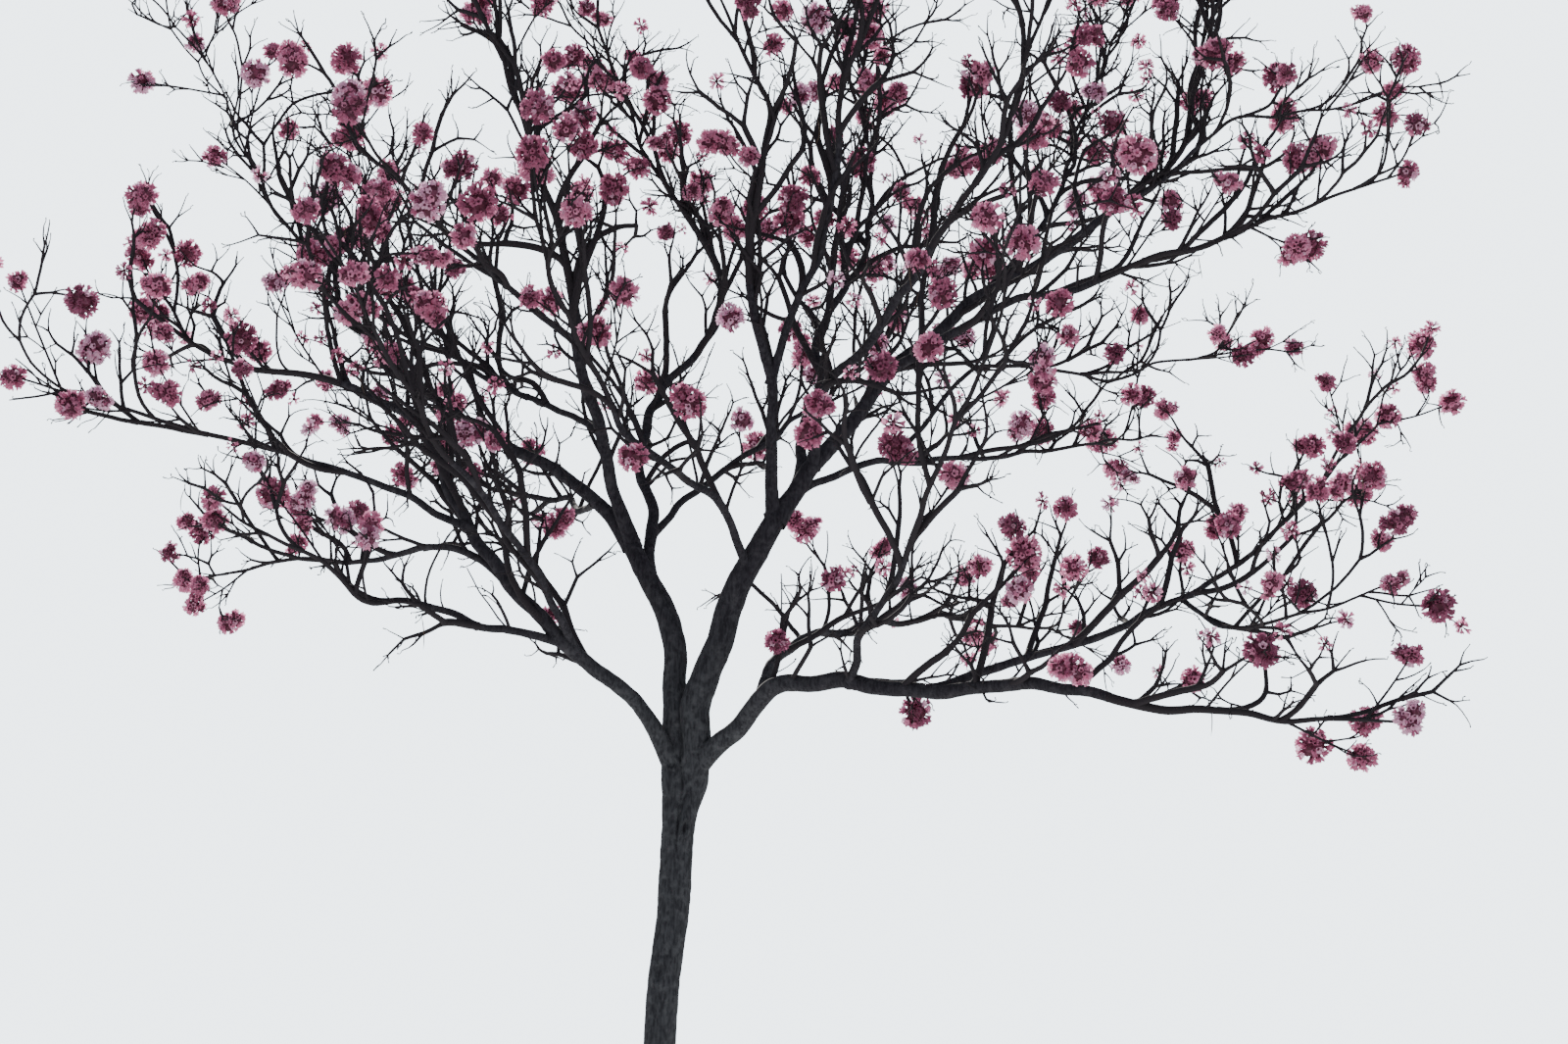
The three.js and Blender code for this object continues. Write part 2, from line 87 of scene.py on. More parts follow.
# Height, how far the trunk has leaned along X, and its radius
TRUNK_HEIGHTS, TRUNK_LEANS, TRUNK_RADII = np.array([
    (0.0, 0.0, 0.17), (0.25, 0.005, 0.165), (0.7, 0.02, 0.155), (1.5, 0.04, 0.15),
    (2.3, 0.05, 0.146), (2.9, 0.09, 0.144), (3.5, 0.17, 0.146), (3.9, 0.19, 0.156),
    (4.25, 0.205, 0.158), (4.5, 0.23, 0.152), (TRUNK_TOP, 0.255, 0.222),
]).T

# The stems run down inside the trunk, so that each grows out of it without a step: the share of its girth
# that a stem has at its buried end, the shares by which the trunk draws in under them and over what height,
# and each stem's middle line inside the trunk
ROOT_GIRTH = 0.72
DRAW_IN = 0.24
DRAW_IN_HEIGHT = 0.35
RIM_DRAW_IN = 0.14
RIM_HEIGHT = 0.14
STEM_ROOTS = {
    "left_stem": [(0.19, 0, 4.1), (0.184, 0, 4.45)],
    "right_stem": [(0.222, 0, 4.1), (0.265, 0, 4.45)],
}

# The seam below the fork: where it starts, how deep it is, its half width as a turn about the trunk, and
# how far below the trunk's top it has its full depth
SEAM_FOOT = 3.95
SEAM_DEPTH = 0.045
SEAM_HALF_WIDTH = 0.13
SEAM_EASE = 0.3

# Bark relief: how wide and long its plates are, how sharp their fissures and how far they wander, how fine
# the grain and the broad swellings are, how far each stands out, and the radius below which it gets flatter.
# The cells of the noise are counted around the limb, those of the grain for each plate.
PLATE_WIDTH = 0.03
FEWEST_PLATES = 7
PLATE_LENGTH = 0.11
PLATE_HEIGHT = 0.0034
FISSURE_POWER = 0.6
WANDER_LENGTH = 0.2
WANDER_CELLS = 5
WANDER_SHARE = 0.35
GRAIN_LENGTH = 0.035
GRAIN_CELLS = 3
GRAIN_HEIGHT = 0.0016
SWELLING_LENGTH = 0.45
SWELLING_CELLS = 4
SWELLING_SHARE = 0.1
FULL_RELIEF_RADIUS = 0.06
TRUNK_RELIEF_SIZE = 0.075
LIMB_RELIEF_SHARE = 0.6
TRUNK_RELIEF_SEED = 51
LIMB_RELIEF_SEED = 60
LEADER_RELIEF = 0.6

# Scars of old boughs: height along, turn about the limb, half width, half height and depth.
# Each has a raised ring and a hollow, whose widths are shares of the scar's.
SCAR_RING = 0.35
SCAR_HOLLOW = 0.7
HOLLOW_DEPTH = 1.3
TRUNK_SCAR_SIZE = 0.15
FRONT = -math.pi / 2
SCARS = {
    "trunk": [(2.95, FRONT - 0.35, 0.055, 0.1, 0.02), (1.35, FRONT + 0.75, 0.045, 0.05, 0.015),
              (4.28, FRONT + 0.45, 0.035, 0.08, 0.02), (3.55, math.pi / 2 + 0.4, 0.045, 0.06, 0.015)],
    "left_stem": [(0.14, FRONT - 0.1, 0.05, 0.06, 0.024)],
    "right_stem": [(1.35, math.pi / 2, 0.04, 0.06, 0.014)],
}

# The rule for limbs and twigs, the same as in the solids
LEG = 0.68
CROOK = 0.065
TAPER = 0.8
TWIG_FOOT = 0.013
TWIG_STEP = 0.64
SHOOT_EVERY = 2
TWIG_START = 0.26
GOLDEN_ANGLE = math.radians(137.5)
TWIG_ANGLE = (math.radians(38), math.radians(34))
TWIG_LIFT = 0.32
TWIG_BEND = 0.5
TWIG_DROP = 0.3
TWIG_REACH = (0.5, 0.5)
SHOOT_SHARE = 0.55
HEAD_SIZE = (0.108, 0.052)
HEADS_APART = 0.95
CLEAR = 0.022
SAMPLE_STEP = 0.09
SHOOT_GIRTH = 0.7
SHOOT_BEND = 2.6
SHOOT_HEAD_SIZE = (0.108, 0.8 * 0.052)
ROOT_SHARE = 0.25
LINE_SEED = 1000
TIP_SEED = 7000
TWIG_SEED = 10000
SEEDS_A_LIMB = 100
LEAST_SHARE = 0.01
LIMB_TIP = 0.008

# Two stems, then the boughs: what each springs from and how far along, its radius at the foot, the bare
# share of its length, how far the twigs beyond that share reach, and its bends
LIMBS = [
    ("left_stem", None, 0, 0.128, None, None,
     [(0.163, 0, 4.75), (0.125, 0, 5.5), (0.1, 0.1, 6.1), (-0.15, 0.3, 6.85), (-0.35, 0.4, 7.2)]),
    ("right_stem", None, 0, 0.146, None, None,
     [(0.347, 0, 4.75), (0.44, -0.1, 5.5), (0.61, -0.2, 6.0), (0.8, -0.3, 6.6), (1.15, -0.4, 7.25)]),
    ("left_low", "left_stem", 0.05, 0.078, 0.62, 1.15,
     [(-0.2, -0.3, 5.45), (-1.1, -0.8, 6.15), (-1.85, -0.6, 7.35), (-2.2, -0.4, 8.1), (-3.5, 0.2, 8.8),
      (-4.75, 0.8, 9.3), (-5.55, 1.2, 10.4)]),
    ("left_reach", "left_low", 0.35, 0.038, 0.4, 1.1,
     [(-2.95, -1.3, 7.4), (-4.8, -1.8, 7.8), (-5.75, -2.0, 8.1)]),
    ("left_flat", "left_low", 0.27, 0.04, 0.4, 0.9,
     [(-1.85, -0.4, 6.9), (-2.65, 0.2, 7.0), (-4.9, 1.6, 7.0)]),
    ("left_under", "left_low", 0.18, 0.042, 0.5, 0.9,
     [(-1.6, -1.4, 6.0), (-2.4, -2.5, 6.0), (-3.4, -3.8, 6.5)]),
    ("left_high", "left_stem", 0.97, 0.077, 0.5, 1.15,
     [(-0.65, 0.5, 7.5), (-1.7, 0.8, 8.3), (-2.55, 1.0, 8.9), (-3.45, 1.0, 9.9), (-4.1, 0.9, 10.95),
      (-4.95, 0.8, 12.7)]),
    ("left_mast", "left_stem", 0.96, 0.067, 0.46, 1.1,
     [(-0.5, 0.1, 7.7), (-0.7, -0.6, 8.85), (-0.95, -1.0, 9.75), (-1.4, -1.6, 11.05), (-1.55, -1.9, 12.4)]),
    ("left_crossing", "left_mast", 0.2, 0.036, 0.5, 1.1,
     [(-1.2, 0.6, 8.6), (-2.25, 2.0, 9.5), (-3.35, 3.3, 11.15), (-4.0, 4.1, 13.0)]),
    ("mid_left", "left_stem", 0.8, 0.062, 0.58, 1.15,
     [(-0.15, 0.8, 7.55), (-0.3, 1.4, 8.45), (-0.1, 2.0, 9.25), (0.5, 2.8, 10.55), (-0.4, 3.5, 12.55),
      (-1.0, 3.8, 14.4)]),
    ("cross_right", "mid_left", 0.07, 0.04, 0.5, 1.1,
     [(0.4, 1.3, 7.95), (1.0, 2.0, 8.6), (1.95, 3.4, 9.8), (3.1, 4.8, 11.5)]),
    ("cross_left", "right_stem", 0.78, 0.044, 0.5, 1.05,
     [(0.55, -1.0, 7.1), (-0.15, -2.0, 7.6), (-0.7, -3.1, 8.3), (-0.9, -4.0, 9.5)]),
    ("mid_mast", "right_stem", 0.97, 0.061, 0.45, 1.0,
     [(1.1, -0.7, 7.8), (1.05, -1.1, 8.4), (0.9, -1.7, 9.35), (1.0, -2.1, 10.55), (0.55, -2.4, 11.8)]),
    ("right_high", "right_stem", 0.98, 0.084, 0.66, 1.0,
     [(1.45, -0.3, 7.55), (2.2, 0.1, 8.75), (3.2, 0.4, 9.65), (4.5, 0.6, 10.6), (5.35, 0.8, 11.4),
      (5.75, 0.9, 13.4)]),
    ("mid_back", "right_high", 0.05, 0.056, 0.45, 1.15,
     [(1.55, 0.5, 8.75), (1.6, 1.1, 9.65), (2.2, 2.3, 11.3), (1.95, 3.3, 14.0)]),
    ("right_front", "right_high", 0.08, 0.054, 0.5, 1.1,
     [(1.6, -0.9, 8.35), (2.15, -1.8, 8.7), (3.0, -3.2, 9.8), (3.6, -3.6, 11.4)]),
    ("right_tip", "right_high", 0.62, 0.026, 0.3, 0.7,
     [(5.75, 0.3, 11.45), (7.15, -0.7, 11.4)]),
    ("right_reach", "right_high", 0.25, 0.048, 0.5, 1.0,
     [(3.35, -0.4, 9.3), (4.45, -1.6, 9.3), (5.9, -2.4, 9.5), (6.7, -2.8, 9.8)]),
    ("right_mast", "right_high", 0.4, 0.036, 0.36, 1.1,
     [(4.05, 1.2, 11.0), (4.6, 2.4, 12.7), (5.2, 3.0, 14.3)]),
    ("right_mid", "right_high", 0.04, 0.04, 0.55, 0.9,
     [(2.1, 0.4, 7.9), (3.45, 1.8, 8.45), (4.75, 3.0, 8.9), (5.6, 3.6, 9.1)]),
    ("right_rise", "right_mid", 0.25, 0.028, 0.3, 0.85,
     [(3.35, 1.3, 9.2), (4.65, 2.0, 9.3), (6.5, 2.7, 10.0)]),
    ("right_low", "right_stem", 0.05, 0.094, 0.62, 0.85,
     [(0.65, -0.3, 5.15), (1.0, -0.7, 5.45), (2.15, -1.4, 5.4), (3.7, -2.6, 5.15), (4.6, -3.1, 4.85),
      (6.1, -3.8, 4.7)]),
    ("right_rising", "right_low", 0.4, 0.044, 0.5, 1.0,
     [(3.9, -1.3, 5.85), (5.05, -0.6, 6.35), (6.0, -0.1, 7.2), (7.2, 0.6, 8.5)]),
    ("right_side", "right_rising", 0.45, 0.024, 0.3, 0.8,
     [(5.4, -1.5, 5.9), (6.3, -2.7, 6.0)]),
    ("right_back", "right_low", 0.13, 0.054, 0.5, 1.0,
     [(1.3, 0.3, 6.1), (2.6, 2.2, 6.75), (4.6, 4.5, 7.1)]),
    ("front_left", "left_low", 0.17, 0.04, 0.45, 1.0,
     [(-1.3, -1.9, 6.8), (-2.0, -3.3, 7.6), (-2.6, -4.5, 8.7)]),
    ("front_right", "right_low", 0.28, 0.04, 0.45, 1.0,
     [(2.1, -2.5, 6.1), (2.6, -3.7, 7.0), (3.1, -4.9, 8.3)]),
    ("back_left", "left_high", 0.08, 0.04, 0.45, 1.1,
     [(-1.1, 1.9, 7.9), (-2.1, 3.3, 8.5), (-3.4, 5.0, 9.6)]),
    ("front_mast", "mid_mast", 0.25, 0.042, 0.45, 1.0,
     [(1.5, -1.5, 9.3), (1.75, -2.3, 10.7), (2.35, -2.8, 12.2), (2.2, -3.1, 13.6)]),
    ("left_front", "left_mast", 0.35, 0.036, 0.5, 0.9,
     [(-1.5, -1.9, 9.1), (-2.1, -2.8, 9.5), (-2.5, -3.5, 10.2)]),
]

# Limbs whose radius at the tip, or whose taper, differs from that of the others
TIPS = {"left_stem": 0.086, "right_stem": 0.102}
TAPERS = {"left_high": 1.4}

# The distance of the rings of each mesh and its sides around, the shake of the limbs' lines, the collar
# that a bough has at its foot, and how many masses go into a piece
TRUNK_FINENESS = (0.016, 120)
STEM_FINENESS = (0.016, 72)
BOUGH_FINENESS = (0.032, 14)
LEADER_FINENESS = (0.06, 7)
LIMB_WOBBLE = 0.027
WOBBLE_LENGTH = 0.33
WOBBLE_EASE = (0.4, 0.5)
WOBBLE_SEED = 900
COLLAR_SWELL = 0.5
COLLAR_REACH = 2.2
MASSES_A_PIECE = 4

# Finer growth: sprays along each limb, whose shoots arch and fork, each time thinner and shorter.
# A spray's reach is a share of the limb's own, long in the bare crown and short at its edge.
# Most pairs are a least value and the range above it. THICKEST_SPRAY is a least and a most radius, and
# SPRAY_REACH the reach at a limb's foot and how much of it is lost towards the tip.
SPRAY_START = 0.15
SPRAY_END = 0.97
SPRAY_STEP = 0.41
THICKEST_SPRAY = (0.0105, 0.036)
SPRAY_REACH = (1.95, 0.62)
REACH_SPREAD = (0.75, 0.6)
STEP_SPREAD = (0.6, 0.8)
TURN_SHAKE = 0.5
HANGING_SHARE = 0.15
SPRAY_ANGLE = (0.4, 0.5)
SMALL_SPRAY_STEP = 0.7
SMALL_SPRAY_SHARE = 0.42
SHOOT_REACH = (0.3, 0.16)
SHORTEST_SHOOT = 0.15
LAST_REACH = 0.26
ARC_STEP = 0.08
ARC_BEND = 2.4
LAST_BEND = 2.3
ARC_RISE = 0.6
ARC_SHAKE = 0.18
MAIN_ANGLE = (0.16, 0.3)
SIDE_ANGLE = (0.55, 0.5)
SIDE_REACH = (0.5, 0.4)
FORK_TURN = math.radians(90)
SIDE_LIFT = 0.3
THIRD_CHANCE = 0.16
THIRD_SHARE = 0.6
SPUR_CHANCE = 0.07
SPUR_REACH = (0.4, 0.5)
TWIGLET_REACH = (0.2, 0.35)
TWIGLET_LIFT = 0.1
FINE_FOOT = 0.0082
FINE_TIP = 0.0057
TWIG_END_GIRTH = 0.9
SHOOT_SAG = 0.12
FORK_POWER = 2.35
GIRTH_A_METRE = 0.004
MOST_STUBS = 1.6
STUB_DROP = 0.4
STUB_LENGTH = 0.07
STUB_SPREAD = (0.4, 0.9)
STUB_TURN = 0.9
STUB_CURL = 0.035
STUB_NECK = 0.0042
BUD_GIRTH = 0.0068
BOX_MARGIN = 0.02
FOOT_SWELL = 1.3
FOOT_SHARE = 0.02
SIDE_GIRTHS = (0.0062, 0.0105, 0.015, 0.024)
FINE_SEED = 40000
ROOM = 0.3
MORE_ROOM = 0.1

# Sprays stand closer together the higher they spring: heights, and what their distance is multiplied by.
# High up, where they crowd, each bears less blossom in the same measure.
CROWDING = ((6.5, 9.5, 12.0), (1.25, 1.0, 0.64))

# How often the end of a shoot bears blossom: a chance at a limb's foot and how much it gains to the tip,
# times a share that is drawn for each spray, times one for the limb
HEAD_CHANCE = (0.05, 0.125)
BLOOM = (0.25, 1.9)
BLOOM_POWER = 1.6
BLOOM_OF_LIMB = {
    "right_side": 1.1, "right_reach": 0.4, "right_rise": 0.35, "right_high": 0.7, "right_tip": 0.7,
    "left_flat": 0.6, "left_under": 0.6, "left_high": 0.7, "left_crossing": 0.7, "left_reach": 1.8,
    "left_low": 1.8,
}

# Round heads and loose bunches: the distance they keep, the share of bunches, and their sizes
HEAD_OFF_LIMB = 0.24
FINE_HEADS_APART = 0.8
LOOSE_SHARE = 0.52
FINE_HEAD_SIZE = (0.105, 0.072)
LOOSE_HEAD_SIZE = (0.068, 0.035)

# One flower: a trumpet with five lobes, on a tube that starts in the middle of its head
FLOWER_LENGTH = 0.098
THROAT_PLACE = 0.6
THROAT_RADIUS = 0.0115
LOBE_SHOULDER = 0.0215
LOBE_TIP = 0.033
LOBE_HALF_WIDTH = 0.014
LOBE_RUFFLE = 0.006
LOBE_SPREADS = (0.82, 1.15)
SHOULDER_PLACES = (0.84, 0.92)
LOBE_ENDS = (0.9, 1.02)
FLOWER_KINDS = 10
FLOWER_SEED = 11
FLOWER_SIZES = (0.74, 1.1)
LARGEST_FLOWER = 1.05
WAY_SHAKE = 0.16
NO_WAY_OUT = (0.31, 0.17, 0.93)

# A head: its core of buds, its flowers by the square of its radius and their least number, how many side
# balls it has and how they lie, and how often it has each petal tone as its main one
CORE_SHARE = 0.72
CORE_BUMPS = 0.3
# Share of the core's faces in the dark tube tone, which is partly painted shade inside the head; the rest
# take the deep petal tone
CORE_DARK_SHARE = 0.6
LOOSE_CORE = 0.02
LARGE_BALL = 0.09
FULL_BUNCH = (2550, 12)
LOOSE_BUNCH = (1500, 5)
SIDE_BALL_CHANCES = (0.5, 0.33, 0.17)
SIDE_BALL_SHARE = (0.58, 0.2)
SIDE_BALL_OFFSET = (0.62, 0.25)
SIDE_BALL_RISE = 0.7
BALL_SHRINK = 0.07
BALL_INSIDE = 0.8
MAIN_TONE_SHARES = (0.13, 0.38, 0.32, 0.17)
MAIN_TONE_CHANCE = 0.7

# Thin seed pods left from last year
POD_COUNT = 46
POD_LENGTHS = (0.21, 0.36)
POD_SWAY = 0.12
POD_RADII = 0.0048 * np.array([0.25, 0.9, 1.0, 1.0, 0.8, 0.15])


def seeded(seed):
    """A small seeded random source that gives the same numbers as the one behind the solids."""
    state = seed & 0xFFFFFFFF

    def draw():
        nonlocal state
        state = (state + 0x6D2B79F5) & 0xFFFFFFFF
        mix = ((state ^ (state >> 15)) * (state | 1)) & 0xFFFFFFFF
        more = ((mix ^ (mix >> 7)) * (mix | 61)) & 0xFFFFFFFF
        mix ^= (mix + more) & 0xFFFFFFFF
        return ((mix ^ (mix >> 14)) & 0xFFFFFFFF) / 4294967296

    return draw


def unit(vector):
    return vector / max(norm(vector), 1e-12)


def spline_point(points, place):
    """A point on the smooth curve through points, place running from 0 to the last index."""
    count = len(points)
    leg = min(int(place), count - 2)
    part = place - leg
    before = points[leg - 1] if leg > 0 else 2 * points[0] - points[1]
    after = points[leg + 2] if leg + 2 < count else 2 * points[-1] - points[-2]
    start, end = points[leg], points[leg + 1]
    rise, fall = 0.5 * (end - before), 0.5 * (after - start)
    square, cube = part * part, part ** 3
    return (start + rise * part + (-3 * start + 3 * end - 2 * rise - fall) * square
            + (2 * start - 2 * end + rise + fall) * cube)


def middle_line(bends, seed):
    """The crooked middle line of a limb, as in the solids."""
    draw = seeded(seed)
    line = [bends[0]]
    for bend in range(len(bends) - 1):
        steps = max(1, int(norm(bends[bend + 1] - bends[bend]) / LEG + 0.5))
        for step in range(1, steps + 1):
            place = spline_point(bends, bend + step / steps)
            kink = np.array([draw() - 0.5, draw() - 0.5, draw() - 0.5])
            line.append(place + kink * 2 * CROOK)
    return np.array(line)


def shares_of(line):
    lengths = np.concatenate([[0], np.cumsum(norm(np.diff(line, axis=0), axis=1))])
    return lengths[-1], lengths / lengths[-1]


def leg_at(one, share):
    return max(1, int(np.searchsorted(one["shares"], share - 1e-12)))


def point_at(one, share):
    after = min(leg_at(one, share), len(one["line"]) - 1)
    low, high = one["shares"][after - 1], one["shares"][after]
    part = (share - low) / (high - low)
    return one["line"][after - 1] * (1 - part) + one["line"][after] * part


def heading_at(one, share):
    after = min(leg_at(one, share), len(one["line"]) - 1)
    return unit(one["line"][after] - one["line"][after - 1])


def girth_at(one, share):
    return one["tip"] + (one["foot"] - one["tip"]) * np.maximum(0, 1 - share) ** one["taper"]


def stretch(one, start, end):
    shares = [s for s in one["shares"] if start + LEAST_SHARE < s < end - LEAST_SHARE]
    shares = [start, *shares, end]
    return np.array([point_at(one, s) for s in shares]), np.array([girth_at(one, s) for s in shares])


limbs = {}
for index, (name, start, at, foot, bare, spread, way) in enumerate(LIMBS):
    bends = [np.array(bend, float) for bend in way]
    if start:
        bends.insert(0, point_at(limbs[start], at))
    one = {"name": name, "index": index, "start": start, "foot": foot, "spread": spread, "bare": 1.0,
           "tip": TIPS.get(name, LIMB_TIP), "taper": TAPERS.get(name, TAPER),
           "line": middle_line(bends, LINE_SEED + index)}
    one["whole"], one["shares"] = shares_of(one["line"])
    if bare:
        after = leg_at(one, bare)
        one["bare"] = (one["shares"][after - 1] + one["shares"][after]) / 2
    limbs[name] = one
masses = [one for one in limbs.values() if one["spread"]]


class Runs:
    """Rods as straight legs with radii, each leg knowing its owner, for measuring distances to them."""

    def __init__(self, rods):
        self.start = np.concatenate([points[:-1] for _, points, _ in rods])
        self.leg = np.concatenate([np.diff(points, axis=0) for _, points, _ in rods])
        self.radius = np.concatenate([radii[:-1] for _, _, radii in rods])
        self.thinning = np.concatenate([np.diff(radii) for _, _, radii in rods])
        self.owner = np.concatenate([np.full(len(points) - 1, owner) for owner, points, _ in rods])
        self.square = np.maximum((self.leg ** 2).sum(1), 1e-12)

    def distances(self, point, solid):
        part = np.clip(((point - self.start) * self.leg).sum(1) / self.square, 0, 1)
        gap = norm(self.start + self.leg * part[:, None] - point, axis=1)
        return gap - (self.radius + self.thinning * part) if solid else gap


trunk_run = (-1, np.stack([TRUNK_LEANS, 0 * TRUNK_LEANS, TRUNK_HEIGHTS], 1), TRUNK_RADII)
wood_runs = Runs([(one["index"], *stretch(one, 0, one["bare"])) for one in limbs.values()] + [trunk_run])
leader_runs = Runs([(one["index"], *stretch(one, one["bare"], 1)) for one in masses])
limb_runs = Runs([(one["index"], *stretch(one, SPRAY_START, 1)) for one in masses])


def keeps_clear(one, point, radius):
    """Whether a ball keeps to the space of its mass and off every limb."""
    if wood_runs.distances(point, True).min() < radius + CLEAR:
        return False
    gaps = leader_runs.distances(point, False)
    mine = leader_runs.owner == one["index"]
    return gaps[~mine].min() - gaps[mine].min() > 2 * radius + CLEAR


def rod_keeps_clear(one, start, end):
    steps = max(1, math.ceil(norm(end - start) / SAMPLE_STEP))
    return all(
        keeps_clear(one, start + (end - start) * step / steps, TWIG_FOOT + SAMPLE_STEP / 2)
        for step in range(1, steps + 1)
    )


class Shape:
    """A mesh gathered from many small parts, with a material number for each face."""

    def __init__(self):
        self.points, self.faces, self.tones, self.count = [], [], [], 0

    def add(self, points, faces, tone=0):
        self.points.append(points)
        self.faces.append(faces + self.count)
        self.tones.append(np.broadcast_to(tone, len(faces)))
        self.count += len(points)


def add_object(name, data):
    made = bpy.data.objects.new(name, data)
    bpy.context.scene.collection.objects.link(made)
    return made


def make_piece(name, shape, materials, nodes, slot_name, smooth=True):
    mesh = bpy.data.meshes.new(name)
    mesh.from_pydata(np.concatenate(shape.points), [], np.concatenate(shape.faces))
    tones = np.concatenate(shape.tones).astype(np.int32)
    mesh.polygons.foreach_set("material_index", tones)
    mesh.polygons.foreach_set("use_smooth", np.full(len(tones), smooth))
    for look in materials:
        mesh.materials.append(look)
    piece = add_object(name, mesh)
    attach(piece, "root")
    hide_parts(*nodes)
    return piece


def smooth_step(value, low, high):
    part = np.clip((value - low) / (high - low), 0, 1)
    return part * part * (3 - 2 * part)


def value_noise(across, along, around_cells, seed):
    """Smooth noise from -1 to 1 that closes on itself after around_cells cells across."""
    source = np.random.RandomState(seed)
    rows = 512
    table = source.uniform(-1, 1, (around_cells, rows))
    left = np.floor(across).astype(int)
    low = np.floor(along).astype(int)
    part_a, part_b = smooth_step(across - left, 0, 1), smooth_step(along - low, 0, 1)
    left0, left1 = left % around_cells, (left + 1) % around_cells
    low0, low1 = low % rows, (low + 1) % rows
    bottom = table[left0, low0] * (1 - part_a) + table[left1, low0] * part_a
    top = table[left0, low1] * (1 - part_a) + table[left1, low1] * part_a
    return bottom * (1 - part_b) + top * part_b


def bark_relief(angle, along, size, seed):
    """Height of bark ridges over a limb of a radius: upright plates parted by narrow fissures."""
    turn = angle / (2 * math.pi)
    sway = WANDER_SHARE * value_noise(turn * WANDER_CELLS, along / WANDER_LENGTH, WANDER_CELLS, seed)
    cells = max(FEWEST_PLATES, int(2 * math.pi * size / PLATE_WIDTH))
    plates = value_noise((turn * cells + sway) % cells, along / PLATE_LENGTH, cells, seed + 1)
    grains = cells * GRAIN_CELLS
    grain = value_noise((turn * cells * GRAIN_CELLS) % grains, along / GRAIN_LENGTH, grains, seed + 2)
    broad = value_noise(turn * SWELLING_CELLS, along / SWELLING_LENGTH, SWELLING_CELLS, seed + 3)
    ridge = 1 - 2 * np.abs(plates) ** FISSURE_POWER
    return PLATE_HEIGHT * -ridge + GRAIN_HEIGHT * grain + SWELLING_SHARE * size * broad


def scarred(radius, turn, along, size, scars):
    """The radius with a raised ring and a hollow at each scar."""
    for place, towards, half_width, half_height, depth in scars:
        across = np.angle(np.exp(1j * (turn - towards))) * size / half_width
        far = np.sqrt(across ** 2 + ((along - place) / half_height) ** 2)
        ring = np.exp(-((far - 1) / SCAR_RING) ** 2)
        radius = radius + depth * (ring - HOLLOW_DEPTH * np.exp(-(far / SCAR_HOLLOW) ** 2))
    return radius


def turns(around):
    return np.arange(around) / around * 2 * math.pi


def ring_faces(rings, around):
    """Quads over a row of rings."""
    ring, side = np.meshgrid(np.arange(rings - 1), np.arange(around), indexing="ij")
    low = ring * around + side
    low_next = ring * around + (side + 1) % around
    return np.stack([low, low_next, low_next + around, low + around], -1).reshape(-1, 4)


def frames_along(points):
    """Two directions across a line at each of its points, which turn as little as they can."""
    headings = np.gradient(points, axis=0)
    headings /= np.maximum(norm(headings, axis=1), 1e-12)[:, None]
    across = np.empty_like(points)
    last = np.array([0.0, 1.0, 0.0]) if abs(headings[0][0]) > 0.9 else np.array([1.0, 0.0, 0.0])
    for i, heading in enumerate(headings):
        last = unit(last - heading * np.dot(last, heading))
        across[i] = last
    return across, np.cross(headings, across)


def tube(points, radii, around):
    """Points and quads of an open rod; radii is one number a ring or one number a point."""
    across, beside = frames_along(points)
    angle = turns(around)
    radii = np.asarray(radii).reshape(len(points), -1, 1)
    out = across[:, None] * np.cos(angle)[None, :, None] + beside[:, None] * np.sin(angle)[None, :, None]
    return (points[:, None] + out * radii).reshape(-1, 3), ring_faces(len(points), around)


# Materials. The bark darkens from the fork out into the crown, over a stretch of distances from the fork.
FORK_PLACE = (0.25, 0, 5.0)
FORK_REACH = (0.4, 2.0)
FAR_BELOW = -100

# Bark tones of the trunk and of the crown: fissures, streaks and patches. The crown's fissure tone is also
# painted as shade into the hollows of the relief.
BARK_TONES = (
    ((0.018, 0.019, 0.024, 1), (0.047, 0.05, 0.058, 1), (0.072, 0.076, 0.085, 1)),
    ((0.012, 0.011, 0.016, 1), (0.028, 0.027, 0.035, 1), (0.045, 0.043, 0.052, 1)),
)
STREAK_SQUEEZE = (1.0, 1.0, 0.22)
STREAK_SCALE = 46
STREAK_EDGES = (0.36, 0.62)
PATCH_SCALE = 13
PATCH_EDGES = (0.5, 0.75)
# Pointiness at which painted shade starts and is full in the hollows of the relief
HOLLOW_SHADE_EDGES = (0.5, 0.44)
BUMP_HEIGHT = 0.004
DULL = 0.92
BARK_GLOSS = 0.2
PETAL_ROUGHNESS = 0.6
PETAL_COLOURS = {
    "petal_pale": (0.66, 0.36, 0.48), "petal_pink": (0.52, 0.225, 0.345),
    "petal_rose": (0.38, 0.135, 0.23), "petal_deep": (0.24, 0.075, 0.14),
}
# Light that comes through a petal is this much stronger in its colour than light that it throws back
THROUGH_GAIN = 1.95


def material(name, colour, roughness, gloss=0.5):
    made = bpy.data.materials.new(name)
    made.use_nodes = True
    shader = made.node_tree.nodes["Principled BSDF"]
    shader.inputs["Base Color"].default_value = (*colour, 1)
    shader.inputs["Roughness"].default_value = roughness
    shader.inputs["Specular IOR Level"].default_value = gloss
    return made


def fill(node, inputs):
    """Gives each named input of a node its value, or links it to the output that it takes."""
    for socket, value in inputs.items():
        if isinstance(value, bpy.types.NodeSocket):
            node.id_data.links.new(value, node.inputs[socket])
        else:
            node.inputs[socket].default_value = value
    return node


